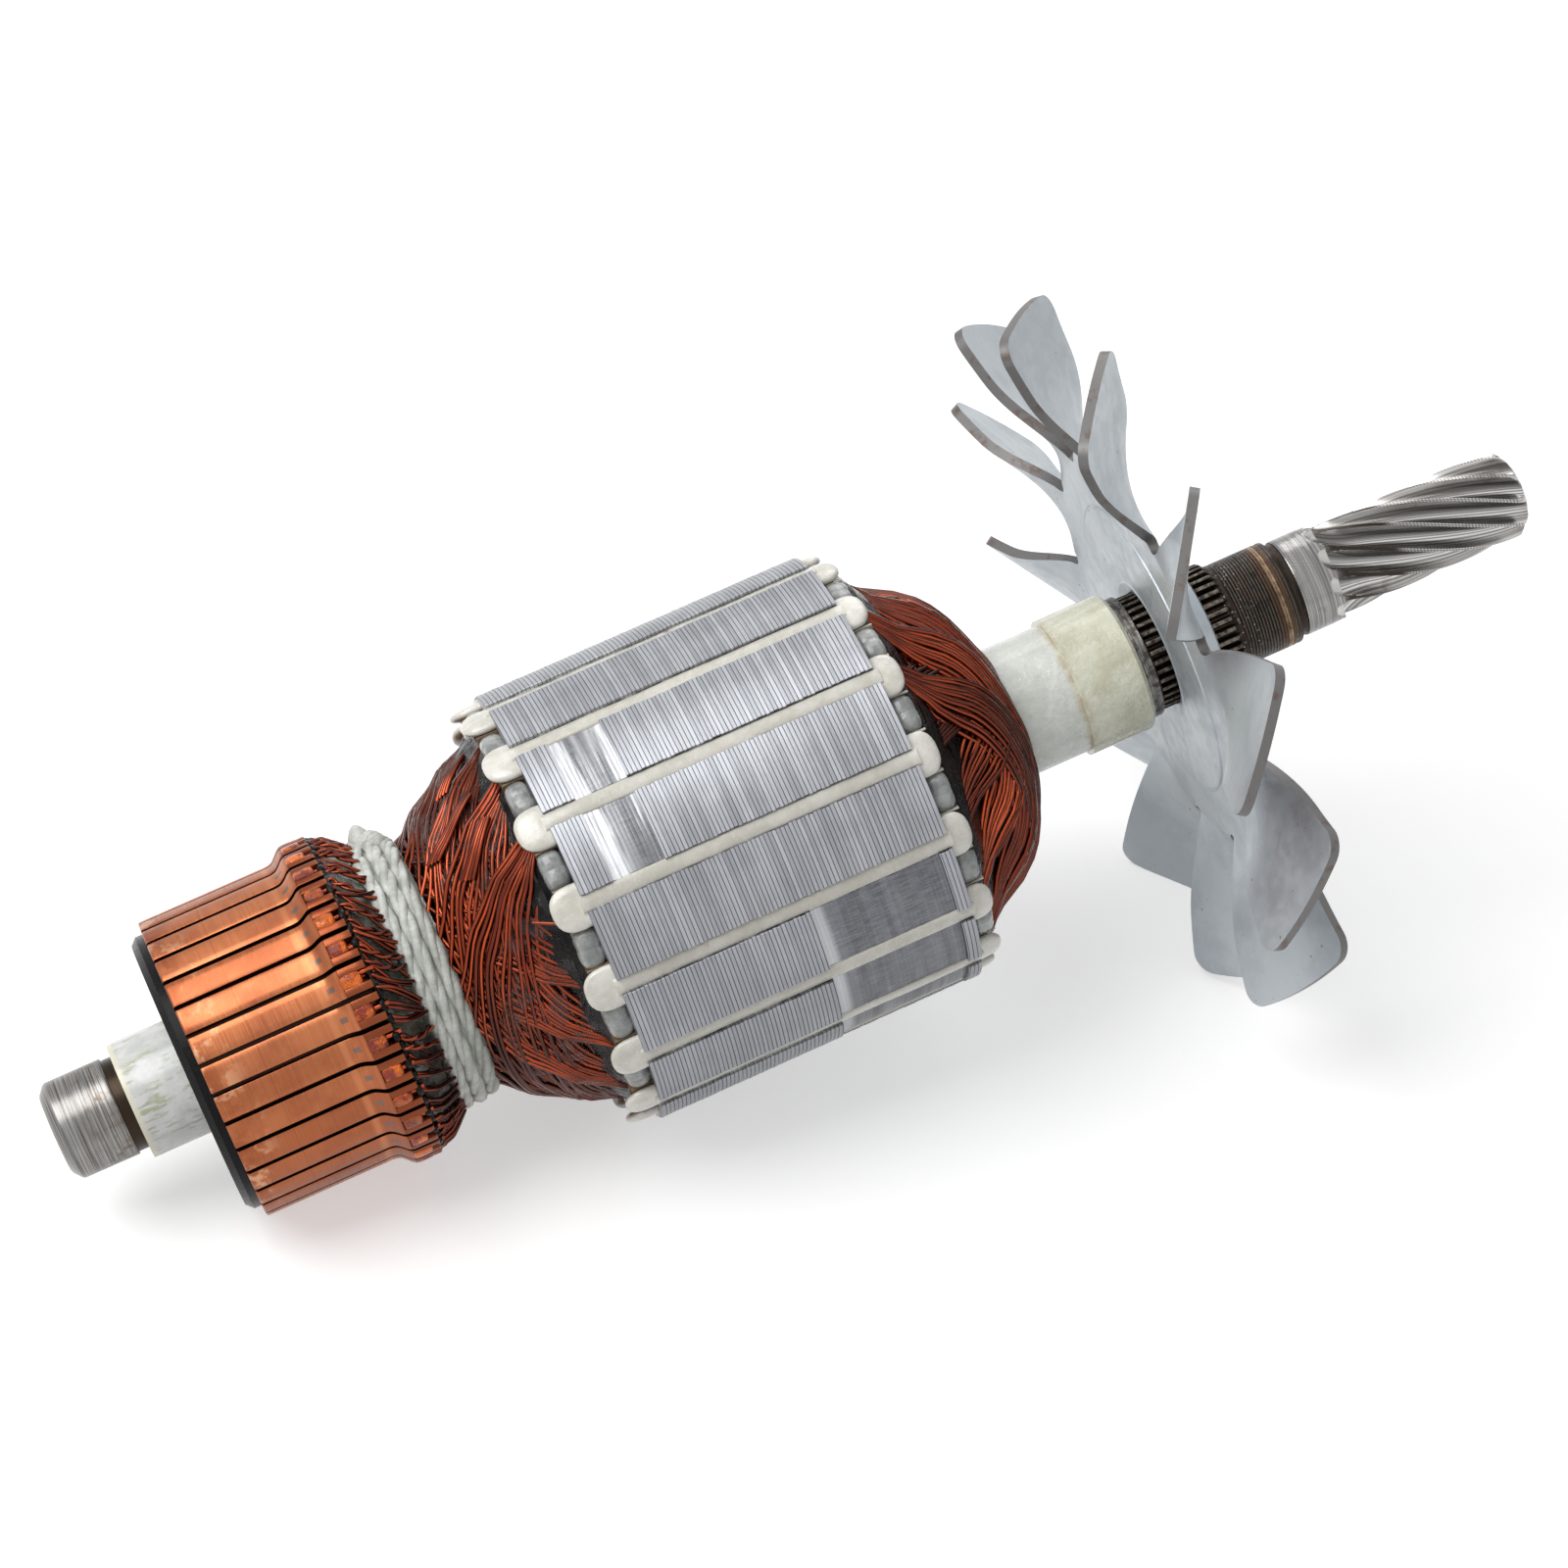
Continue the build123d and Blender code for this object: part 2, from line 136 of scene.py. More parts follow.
class Piece:
    """Collects surfaces given as grids of points, and makes them into one object."""

    def __init__(self, name):
        self.name = name
        self.points, self.faces, self.finish, self.uv = [], [], [], []
        self.count = 0

    def grid(self, points, finish=0, around=False, along_closed=False, uv=None, flip=False):
        """Adds a grid of points (rows, columns, 3), or several (grids, rows, columns, 3); around joins each
        grid's last column to its first, and along_closed its last row to its first."""
        points = points if points.ndim == 4 else points[None]
        grids, rows, columns = points.shape[:3]
        index = self.count + np.arange(grids * rows * columns).reshape(grids, rows, columns)
        if around:
            index = np.concatenate([index, index[:, :, :1]], axis=2)
        if along_closed:
            index = np.concatenate([index, index[:, :1]], axis=1)
        quads = np.stack([index[:, :-1, :-1], index[:, :-1, 1:], index[:, 1:, 1:], index[:, 1:, :-1]], axis=-1)
        quads = quads.reshape(-1, 4)
        self.add(points.reshape(-1, 3), quads[:, ::-1] if flip else quads, finish, uv)

    def tube(self, points, finish=0, uv=None, flip=False):
        """Adds a grid joined round, or several, with a flat face on both ends of each."""
        rows, columns = points.shape[-3:-1]
        grids = points.size // (rows * columns * 3)
        ring = self.count + np.arange(grids)[:, None] * rows * columns + np.arange(columns)
        self.grid(points, finish, around=True, uv=uv, flip=flip)
        self.caps(ring, finish, not flip)
        self.caps(ring + (rows - 1) * columns, finish, flip)

    def caps(self, loops, finish, flip):
        """Adds flat faces, each a row of point numbers."""
        self.faces.append(loops[:, ::-1] if flip else loops)
        self.finish.append(np.full(len(loops), finish))

    def add(self, points, faces, finish, uv):
        """Adds points with their faces and their places in the piece's own map."""
        self.points.append(points)
        self.uv.append(np.zeros((len(points), 2)) if uv is None else uv.reshape(-1, 2))
        self.faces.append(faces)
        self.finish.append(np.full(len(faces), finish))
        self.count += len(points)

    def build(self, finishes, sharp=35, weld=False, outward=False):
        """Puts the points and faces into a mesh, gives it its finishes and lets it ride on the body."""
        points, uv = np.concatenate(self.points), np.concatenate(self.uv)
        faces, finish_numbers = self.faces, self.finish
        if weld:
            key = np.round(points / MM * 2000).astype(np.int64)
            _, first, back = np.unique(key, axis=0, return_index=True, return_inverse=True)
            back = back.reshape(-1)
            points, uv = points[first], uv[first]
            faces, finish_numbers = without_doubled_corners([back[f] for f in faces], finish_numbers)
        corners = np.concatenate([f.reshape(-1) for f in faces])
        sizes = np.concatenate([np.full(len(f), f.shape[1]) for f in faces])
        mesh = bpy.data.meshes.new(self.name)
        mesh.vertices.add(len(points))
        mesh.vertices.foreach_set("co", points.reshape(-1))
        mesh.loops.add(len(corners))
        mesh.loops.foreach_set("vertex_index", corners)
        mesh.polygons.add(len(sizes))
        mesh.polygons.foreach_set("loop_start", np.concatenate([[0], np.cumsum(sizes)[:-1]]))
        for finish in finishes:
            mesh.materials.append(finish)
        mesh.polygons.foreach_set("material_index", np.concatenate(finish_numbers).astype(np.int32))
        mesh.uv_layers.new(name="piece")
        mesh.uv_layers["piece"].data.foreach_set("uv", uv[corners].reshape(-1))
        mesh.update(calc_edges=True)
        mesh.validate()
        if weld or outward:
            tidy_mesh(mesh, outward)
        mesh.polygons.foreach_set("use_smooth", np.ones(len(mesh.polygons), bool))
        mesh.set_sharp_from_angle(angle=radians(sharp))
        piece = bpy.data.objects.new(self.name, mesh)
        bpy.context.scene.collection.objects.link(piece)
        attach(piece, "root")
        return piece


def turned(piece, profile, sides, finish=0, hollow=False):
    """A turned shape: every point of the profile (along, radius) carried once round the axis."""
    profile = np.asarray(profile, float)
    points = placed(profile[:, :1], profile[:, 1:], np.arange(sides) * 360 / sides)
    if hollow:
        piece.grid(points, finish, around=True, along_closed=True)
    else:
        piece.tube(points, finish)


def rounded(profile, step):
    """The same profile with more points along its straight runs."""
    profile = np.asarray(profile, float)
    length = np.concatenate([[0], np.cumsum(np.hypot(*np.diff(profile, axis=0).T))])
    at = np.unique(np.concatenate([length, np.arange(0, length[-1], step)]))
    return np.stack([np.interp(at, length, column) for column in profile.T], axis=1)


def strands(piece, paths, out, width, sides, tint=None):
    """Round wires: a circle of the given width in millimetres carried along each path.
    paths and out are (wires, points, 3); out points away from what the wires lie on."""
    wires, steps = paths.shape[:2]
    run = np.gradient(paths, axis=1)
    run /= np.linalg.norm(run, axis=2, keepdims=True)
    side = np.cross(run, out)
    side /= np.linalg.norm(side, axis=2, keepdims=True)
    lift = np.cross(side, run)
    around = np.arange(sides) * 2 * np.pi / sides
    ring = side[:, :, None] * np.cos(around)[:, None] + lift[:, :, None] * np.sin(around)[:, None]
    points = paths[:, :, None] + ring * (width * MM) / 2
    index = piece.count + np.arange(wires * steps * sides).reshape(wires, steps, sides)
    joined = np.concatenate([index, index[:, :, :1]], axis=2)
    quads = np.stack([joined[:, :-1, :-1], joined[:, 1:, :-1], joined[:, 1:, 1:], joined[:, :-1, 1:]], axis=-1)
    length = np.linalg.norm(np.diff(paths, axis=1), axis=2).cumsum(axis=1) / MM
    length = np.concatenate([np.zeros((wires, 1)), length], axis=1)
    tint = random.uniform(0, 1, wires) if tint is None else tint
    uv = pair(length[:, :, None], tint[:, None, None] + around * 0)
    piece.add(points.reshape(-1, 3), quads.reshape(-1, 4), 0, uv)
    piece.caps(index[:, 0], 0, False)
    piece.caps(index[:, -1], 0, True)


def lay(piece, s, r, angle, width, sides, tint=None, aside=0.0):
    """Round wires over places round the shaft, moved aside by an angle; their outside faces away from it."""
    paths = placed(s, r, angle + aside)
    strands(piece, paths, (placed(s, r + 1, angle) - paths) / MM, width, sides, tint)


def pillows(piece, s, r, angle, half, rows, sides, power, finish=0):
    """Rounded blocks (superellipsoids) at places on the shaft, with half sizes along, sideways and up:
    each coordinate is the half size times a sine or cosine raised to the power, its sign kept."""
    s, r, angle = (v.reshape(-1, 1, 1) for v in np.broadcast_arrays(*(np.asarray(v, float) for v in (s, r, angle))))
    along, sideways, up = (np.asarray(h, float).reshape(-1, 1, 1) for h in half)
    lift = np.linspace(-np.pi / 2, np.pi / 2, rows + 1)[:, None]
    turn = np.arange(sides) * 2 * np.pi / sides
    ring = np.where(np.abs(np.cos(lift)) < 1e-9, 0, bent(np.cos(lift), power))
    at_s = s + along * bent(np.sin(lift), power) + 0 * turn
    at_side = sideways * ring * bent(np.cos(turn), power)
    at_up = r + up * ring * bent(np.sin(turn), power)
    points = placed(at_s, np.hypot(at_up, at_side), angle + np.degrees(np.arctan2(at_side, at_up)))
    piece.grid(points, finish, around=True, uv=pair(at_s, 0.5), flip=True)


# Shader nodes
def feed(tree, socket, value):
    """Links an output to a socket, or sets the socket's own value."""
    if isinstance(value, bpy.types.NodeSocket):
        tree.links.new(value, socket)
    else:
        socket.default_value = value


def put(tree, kind, settings=None, **inputs):
    """Adds a node with its settings; an input is named, or i and its number, and is a value or an output."""
    node = tree.nodes.new(kind)
    for key, value in (settings or {}).items():
        setattr(node, key, value)
    for key, value in inputs.items():
        numbered = key[0] == "i" and key[1:].isdigit()
        feed(tree, node.inputs[int(key[1:]) if numbered else key.replace("_", " ")], value)
    return node


def math(tree, operation, a, b=0.0, c=0.0, clamp=False):
    """One step of arithmetic on up to three values."""
    return put(tree, "ShaderNodeMath", {"operation": operation, "use_clamp": clamp}, i0=a, i1=b, i2=c).outputs[0]


def mix(tree, share, a, b):
    """Colour a where the share is 0, and colour b where it is 1."""
    return put(tree, "ShaderNodeMix", {"data_type": "RGBA"}, i0=share, i6=a, i7=b).outputs[2]


def ramp(tree, value, low, high, start=0.0, end=1.0):
    """A soft rise from start to end while the value goes from low to high."""
    return put(tree, "ShaderNodeMapRange", {"interpolation_type": "SMOOTHSTEP"}, Value=value, From_Min=low,
               From_Max=high, To_Min=start, To_Max=end).outputs[0]


def colour(red, green, blue):
    """A colour given as it looks on screen, 0 to 255, turned into light values."""
    share = np.array([red, green, blue]) / 255
    light = np.where(share <= 0.04045, share / 12.92, ((share + 0.055) / 1.055) ** 2.4)
    return (*light.tolist(), 1.0)


def group(name, inputs, outputs):
    """Starts a node group with named inputs (name, default) and outputs (name, socket type)."""
    tree = bpy.data.node_groups.new(name, "ShaderNodeTree")
    for label, default in inputs:
        kind = VECTOR if isinstance(default, tuple) else FLOAT
        tree.interface.new_socket(label, in_out="INPUT", socket_type=kind).default_value = default
    for label, kind in outputs:
        tree.interface.new_socket(label, in_out="OUTPUT", socket_type=kind)
    return tree, tree.nodes.new("NodeGroupInput").outputs, tree.nodes.new("NodeGroupOutput").inputs


def use(tree, node_group, **inputs):
    """Places a node group in a material with its own values."""
    node = tree.nodes.new("ShaderNodeGroup")
    node.node_tree = node_group
    for key, value in inputs.items():
        feed(tree, node.inputs[key], value)
    return node.outputs


FLOAT, VECTOR, NOWHERE = "NodeSocketFloat", "NodeSocketVector", (0.0, 0.0, 0.0)

# Place on the shaft, in millimetres: along, radius, turn from 0 to 1, and the plain position
shaft_place, given, result = group(
    "shaft place", [], [("Along", FLOAT), ("Radius", FLOAT), ("Turn", FLOAT), ("Position", VECTOR)])
where = shaft_place.nodes.new("ShaderNodeTexCoord").outputs["Object"]
offset = -(Matrix.Rotation(LEAN, 3, "Y") @ Vector(ORIGIN / MM))
stood = put(shaft_place, "ShaderNodeMapping", {"vector_type": "POINT"}, Vector=where, Location=offset,
            Rotation=(0, LEAN, 0), Scale=(1 / MM,) * 3).outputs[0]
split = put(shaft_place, "ShaderNodeSeparateXYZ", Vector=stood).outputs
flat = put(shaft_place, "ShaderNodeCombineXYZ", Y=split[1], Z=split[2]).outputs[0]
radius = put(shaft_place, "ShaderNodeVectorMath", {"operation": "LENGTH"}, i0=flat).outputs["Value"]
turn = math(shaft_place, "ARCTAN2", math(shaft_place, "MULTIPLY", split[1], -1.0), split[2])
turn = math(shaft_place, "FRACT", math(shaft_place, "DIVIDE", turn, 2 * np.pi))
for label, value in (("Along", split[0]), ("Radius", radius), ("Turn", turn), ("Position", stood)):
    feed(shaft_place, result[label], value)

# Fine lines left by a turning or grinding tool, round the shaft
turning_lines, given, result = group(
    "turning lines", [("Position", NOWHERE), ("Fineness", 6.0), ("Unevenness", 0.15)],
    [("Shade", FLOAT), ("Height", FLOAT)])
parts = put(turning_lines, "ShaderNodeSeparateXYZ", Vector=given["Position"]).outputs
scales = (given["Fineness"], given["Unevenness"], given["Unevenness"])
x, y, z = (math(turning_lines, "MULTIPLY", part, scale) for part, scale in zip(parts, scales))
lines_at = put(turning_lines, "ShaderNodeCombineXYZ", X=x, Y=y, Z=z).outputs[0]
lines = put(turning_lines, "ShaderNodeTexNoise", Vector=lines_at, Scale=1.0, Detail=3.0, Roughness=0.6).outputs[0]
feed(turning_lines, result["Shade"], ramp(turning_lines, lines, 0.3, 0.7))
feed(turning_lines, result["Height"], lines)

# Uneven tone, for stains and clouding
clouding, given, result = group(
    "clouding", [("Position", NOWHERE), ("Size", 0.3), ("Low", 0.35), ("High", 0.65)], [("Amount", FLOAT)])
cloud = put(clouding, "ShaderNodeTexNoise", Vector=given["Position"], Scale=given["Size"], Detail=5.0, Roughness=0.62)
feed(clouding, result["Amount"], ramp(clouding, cloud.outputs[0], given["Low"], given["High"]))

# Small specks, such as dust, chips and spatter
specks, given, result = group(
    "specks", [("Position", NOWHERE), ("Size", 2.0), ("Reach", 0.12), ("Share", 0.5)], [("Mask", FLOAT)])
cell = put(specks, "ShaderNodeTexVoronoi", Vector=given["Position"], Scale=given["Size"]).outputs
near = put(specks, "ShaderNodeMapRange", Value=cell["Distance"], From_Min=given["Reach"], From_Max=0.0).outputs[0]
drawn = put(specks, "ShaderNodeSeparateXYZ", Vector=cell["Color"]).outputs[0]
chosen = math(specks, "LESS_THAN", drawn, given["Share"])
feed(specks, result["Mask"], math(specks, "MULTIPLY", near, chosen, clamp=True))


class Finish:
    """A material in the making: its tree, its main shader, its tone so far and the place on the shaft."""

    def __init__(self, name, metal=0.0, **constants):
        self.material = bpy.data.materials.new(name)
        self.material.use_nodes = True
        self.tree = self.material.node_tree
        self.shader = self.tree.nodes["Principled BSDF"]
        for key, value in dict(Metallic=metal, **constants).items():
            self.shader.inputs[key.replace("_", " ")].default_value = value
        place = use(self.tree, shaft_place)
        self.along, self.radius, self.turn, self.position = (place[k] for k in ("Along", "Radius", "Turn", "Position"))

    def base(self, share, low, high):
        """Starts the tone afresh as a mix of two colours."""
        self.tone = mix(self.tree, share, colour(*low), colour(*high))
        return self.tone

    def over(self, mask, shade, strength=1.0):
        """Lays a colour over the tone where the mask is 1."""
        mask = mask if strength == 1.0 else self.times(mask, strength)
        self.tone = mix(self.tree, mask, self.tone, colour(*shade))

    def done(self, rough, height, strength, distance, **more):
        """Joins the tone, the roughness and a bump to the shader, and gives back the material."""
        bump = put(self.tree, "ShaderNodeBump", Strength=strength, Distance=distance * MM, Height=height).outputs[0]
        for key, value in dict(Base_Color=self.tone, Roughness=rough, Normal=bump, **more).items():
            feed(self.tree, self.shader.inputs[key.replace("_", " ")], value)
        return self.material

    def math(self, operation, a, b=0.0, c=0.0):
        """One step of arithmetic in this material."""
        return math(self.tree, operation, a, b, c)

    def times(self, a, b):
        """The product of two values."""
        return math(self.tree, "MULTIPLY", a, b)

    def ramp(self, value, low, high, start=0.0, end=1.0):
        """A soft rise from start to end in this material."""
        return ramp(self.tree, value, low, high, start, end)

    def fall(self, value, low, high):
        """1 below low, 0 above high, with a soft fall between."""
        return ramp(self.tree, value, low, high, 1.0, 0.0)

    def between(self, value, low, high, soft):
        """1 while the value lies between low and high, with soft ends."""
        return self.times(self.ramp(value, low - soft, low + soft), self.fall(value, high - soft, high + soft))

    def at(self, low, high, soft):
        """1 between two places along the shaft."""
        return self.between(self.along, low, high, soft)

    def lines(self, fineness, unevenness):
        return use(self.tree, turning_lines, Position=self.position, Fineness=fineness, Unevenness=unevenness)

    def cloud(self, size, low=0.35, high=0.65, position=None):
        return use(self.tree, clouding, Position=position or self.position, Size=size, Low=low, High=high)["Amount"]

    def rough(self, size, low, high):
        """Uneven roughness from low to high."""
        return self.ramp(self.cloud(size), 0, 1, low, high)

    def specks(self, size, reach, share):
        return use(self.tree, specks, Position=self.position, Size=size, Reach=reach, Share=share)["Mask"]

    def stretched(self, *scale):
        """The position scaled apart along the three axes."""
        return put(self.tree, "ShaderNodeVectorMath", {"operation": "MULTIPLY"}, i0=self.position, i1=scale).outputs[0]

    def noise_along(self, value, scale, detail):
        return put(self.tree, "ShaderNodeTexNoise", {"noise_dimensions": "1D"}, W=value, Scale=scale,
                   Detail=detail).outputs[0]

    def chance(self, number):
        """A random value from 0 to 1 for each whole number."""
        return put(self.tree, "ShaderNodeTexWhiteNoise", {"noise_dimensions": "1D"}, W=number).outputs["Value"]

    def piece_uv(self):
        uv = put(self.tree, "ShaderNodeUVMap", {"uv_map": "piece"}).outputs[0]
        return put(self.tree, "ShaderNodeSeparateXYZ", Vector=uv).outputs


# Finishes
def make_ground_steel():
    """Ground bearing steel with fine lines round it, a brown tint beside the relief and rust on the collar."""
    f = Finish("ground steel", 1.0)
    lines = f.lines(9.0, 0.1)
    f.base(lines["Shade"], (78, 76, 74), (158, 156, 153))
    f.over(f.times(f.cloud(0.5, 0.45, 0.7), f.at(-60.5, -54, 1.5)), (92, 74, 58))
    f.over(f.at(-56.95, -55.4, 0.12), (52, 44, 36))
    f.over(f.times(f.at(72.5, 74.4, 0.1), f.cloud(1.1, 0.4, 0.6)), (66, 52, 42), 0.8)
    return f.done(f.ramp(lines["Shade"], 0, 1, 0.24, 0.36), lines["Height"], 0.25, 0.05)


def make_dark_steel():
    """Dark oxidised steel of the serrations and the turned length, with painted highlight on the ridges between the
    grooves and on the serration crests.
    """
    f = Finish("dark steel", 0.8)
    lines = f.lines(5.0, 0.3)
    f.base(lines["Shade"], (26, 21, 18), (56, 47, 40))
    groove = f.math("FRACT", f.math("DIVIDE", f.math("SUBTRACT", f.along, GROOVES_FROM), GROOVE_PITCH))
    # Painted highlight: light lines along the ridges between the turned grooves.
    ridge = f.times(f.between(groove, 0.25, 0.55, 0.1), f.at(86.2, 92.9, 0.2))
    f.over(f.times(ridge, f.ramp(f.cloud(0.9, 0.3, 0.6), 0, 1, 0.25, 1.0)), (126, 119, 110), 0.55)
    f.over(f.at(90.5, 92.4, 0.3), (84, 62, 46), 0.8)
    f.over(f.times(f.at(91.3, 91.9, 0.2), f.cloud(0.5, 0.3, 0.6)), (168, 142, 116))
    # Painted highlight: a lighter tone on the serration crests.
    crest = f.times(f.ramp(f.radius, 7.12, 7.19), f.at(74.3, 85.2, 0.3))
    f.over(f.times(crest, f.cloud(1.4, 0.35, 0.62)), (132, 124, 113), 0.8)
    f.over(f.times(f.specks(2.6, 0.35, 0.35), f.at(85.0, 88.2, 0.6)), (190, 182, 172))
    f.over(f.cloud(0.9, 0.52, 0.7), (74, 46, 30), 0.5)
    return f.done(f.rough(2.0, 0.32, 0.5), lines["Height"], 0.4, 0.08)


def make_pinion_steel():
    """Cut steel of the pinion: painted reflection makes one flank of each gullet dark and one bright; a dotted crest,
    dark lands at the run-outs, and the ground seat beside them."""
    f = Finish("pinion steel", 1.0)
    share = f.piece_uv()[0]
    lines = f.noise_along(f.math("ADD", f.times(share, 9.0), f.times(f.along, 0.03)), 1.6, 3.0)
    f.base(f.ramp(lines, 0.35, 0.65), (132, 130, 127), (218, 217, 215))
    # Painted reflection: a dark band over one flank of each gullet, and a lighter grey band near the crest on the
    # other.
    f.over(f.times(f.ramp(share, 0.04, 0.16), f.fall(share, 0.26, 0.6)), (62, 58, 55), 0.85)
    f.over(f.between(share, 0.84, 0.93, 0.05), (112, 107, 102), 0.45)
    dots = f.between(f.math("FRACT", f.times(f.along, 2.6)), 0.3, 0.7, 0.12)
    f.over(f.times(f.ramp(f.radius, 5.38, 5.46), dots), (96, 90, 84), 0.7)
    f.over(f.times(f.ramp(f.radius, 5.42, 5.49), f.at(99.2, 107.5, 0.9)), (58, 50, 44))
    cut = f.tone
    f.base(f.lines(9.0, 0.05)["Shade"], (92, 91, 90), (172, 171, 169))
    f.over(f.fall(f.radius, 5.9, 6.0), (190, 188, 184))
    f.tone = mix(f.tree, f.fall(f.along, 99.05, 99.2), cut, f.tone)
    f.over(f.cloud(0.35, 0.55, 0.75), (84, 76, 68), 0.45)
    return f.done(f.ramp(lines, 0.3, 0.7, 0.16, 0.3), lines, 0.12, 0.05)


def make_copper():
    """Turned copper of the bars, each with its own tint, with oxide towards the ends, a grey solder spot on each ramp,
    brown sides, and painted shade on the lower side of the commutator."""
    f = Finish("copper", 1.0)
    sideways, tint = f.piece_uv()[:2]
    lines = f.lines(5.0, 0.06)
    f.base(tint, (158, 88, 55), (186, 112, 74))
    f.over(lines["Shade"], (212, 148, 106), 0.25)
    f.over(f.cloud(0.12, 0.42, 0.68), (136, 72, 50), 0.5)
    # Painted shade: darker on the lower side of the commutator.
    f.over(f.between(f.turn, 0.2, 0.6, 0.1), (122, 66, 46), 0.35)
    f.over(f.times(f.fall(f.along, -46.4, -42.5), f.cloud(0.45, 0.38, 0.6)), (132, 66, 42), 0.6)
    f.over(f.times(f.fall(f.along, -45.0, -41.0), f.cloud(0.3, 0.52, 0.62)), (232, 186, 148), 0.45)
    f.over(f.at(-39.7, -39.6, 0.05), (120, 60, 38), 0.35)
    f.over(f.at(-31.2, -30.4, 0.3), (214, 142, 98), 0.35)
    f.over(f.times(f.at(-30.0, -29.1, 0.08), f.between(sideways, -0.32, 0.32, 0.06)), (112, 98, 92), 0.85)
    f.over(f.ramp(f.along, -28.6, -27.9), (112, 52, 32), 0.75)
    f.over(f.ramp(f.math("ABSOLUTE", sideways), 1.535, 1.57), (62, 28, 18))
    return f.done(f.ramp(lines["Shade"], 0, 1, 0.3, 0.42), lines["Height"], 0.16, 0.05)


def make_black_moulding():
    """Black moulded resin of the commutator, dusty brown between the bars."""
    f = Finish("black moulding", Specular_IOR_Level=0.12)
    grain = f.cloud(3.0, 0.3, 0.7)
    f.base(grain, (14, 13, 14), (28, 27, 27))
    f.over(f.at(-46.3, -25.0, 0.1), (88, 50, 36), 0.9)
    return f.done(f.ramp(grain, 0, 1, 0.22, 0.36), grain, 0.12, 0.05)


def make_glass_fibre():
    """Varnished glass-fibre tube, nearly white, with short green-yellow streaks along it and a cream rim."""
    f = Finish("glass fibre", Coat_Weight=0.35, Coat_Roughness=0.1)
    stretched = f.stretched(0.22, 1.0, 1.0)
    streak = f.times(f.cloud(1.1, 0.5, 0.6, stretched), f.cloud(0.18, 0.35, 0.55))
    f.base(f.cloud(0.4), (216, 218, 216), (238, 239, 237))
    f.over(streak, (168, 170, 118), 0.75)
    f.over(f.cloud(1.6, 0.6, 0.7, stretched), (150, 154, 152), 0.4)
    f.over(f.fall(f.along, -55.2, -54.6), (240, 236, 214))
    return f.done(f.ramp(streak, 0, 1, 0.25, 0.45), streak, 0.25, 0.06)


def make_cream_tube():
    """Varnished insulating tube beside the fan: milky up to its step, cream past it, with runs at the step."""
    f = Finish("cream tube", Coat_Weight=0.6, Coat_Roughness=0.07)
    milky = f.base(f.cloud(0.25), (214, 217, 208), (234, 236, 229))
    cream = f.base(f.cloud(0.3), (206, 204, 178), (228, 227, 206))
    f.tone = mix(f.tree, f.ramp(f.along, 63.6, 64.8), milky, cream)
    f.over(f.times(f.at(63.8, 65.0, 0.4), f.cloud(0.6, 0.42, 0.62)), (176, 156, 112), 0.5)
    f.over(f.specks(0.5, 0.16, 0.35), (196, 180, 130), 0.5)
    return f.done(f.rough(1.5, 0.18, 0.34), f.cloud(0.45), 0.3, 0.3)


def make_lamination():
    """Edges of the stacked sheets: each sheet has its own tone and a dark line beside it, and painted shade darkens
    the lower side of the core. The milled flats are smooth and scratched along the shaft: bright at the commutator end
    with a dark band of painted reflection across it, and grey at the other end, partly oxide and partly painted shade."""
    f = Finish("lamination steel", 1.0)
    sheet_at = f.math("DIVIDE", f.along, SHEET_PITCH)
    tooth = f.math("FLOOR", f.times(f.turn, SLOTS))
    own, seam = (f.chance(f.math("MULTIPLY_ADD", tooth, 117.0, f.math(kind, sheet_at))) for kind in ("FLOOR", "ROUND"))
    line = f.math("ABSOLUTE", f.math("SUBTRACT", f.math("FRACT", sheet_at), 0.5))
    dark = f.times(f.ramp(line, 0.4, 0.48), f.ramp(seam, 0.0, 0.8, 0.25, 1.0))
    f.base(own, (152, 154, 159), (178, 180, 185))
    f.over(f.lines(9.0, 0.5)["Shade"], (216, 217, 221), 0.14)
    f.over(f.cloud(0.1, 0.4, 0.62), (126, 127, 132), 0.3)
    # Painted shade: darker on the lower side of the core.
    f.over(f.between(f.turn, 0.2, 0.6, 0.09), (104, 105, 110), 0.35)
    f.over(dark, (44, 44, 48), 0.8)
    sheets = f.tone
    scratch = f.cloud(1.6, 0.35, 0.65, f.stretched(0.35, 3.2, 3.2))
    crossing = f.cloud(0.42, 0.38, 0.62, f.stretched(1.0, 0.08, 0.08))
    # Rear flats: grey, partly oxide and partly painted shade.
    f.base(crossing, (92, 93, 98), (110, 111, 116))
    f.over(f.at(23.0, 24.6, 0.5), (204, 205, 208), 0.6)
    grey = f.tone
    f.base(crossing, (108, 109, 113), (232, 233, 236))
    # Painted reflection: a dark band across the front flats.
    f.over(f.at(6.5, 8.6, 0.9), (88, 89, 93), 0.75)
    f.tone = mix(f.tree, f.ramp(f.along, 18.0, 22.0), f.tone, grey)
    f.over(scratch, (190, 191, 195), 0.16)
    f.over(dark, (60, 60, 64), 0.22)
    f.tone = mix(f.tree, f.fall(f.radius, 26.55, 26.75), sheets, f.tone)
    height = f.math("ADD", f.times(dark, -0.6), f.times(scratch, 0.12))
    return f.done(f.ramp(own, 0, 1, 0.34, 0.48), height, 0.4, 0.05)


def make_board():
    """Grey half-clear end board under varnish, brown where the varnish pooled low down."""
    f = Finish("end board", Coat_Weight=0.7, Coat_Roughness=0.06)
    f.base(f.cloud(0.5), (128, 132, 130), (178, 181, 178))
    f.over(f.times(f.fall(f.radius, 23.2, 24.6), f.cloud(0.3, 0.35, 0.6)), (98, 76, 50), 0.8)
    return f.done(f.rough(1.2, 0.12, 0.3), f.cloud(0.5), 0.3, 0.25)


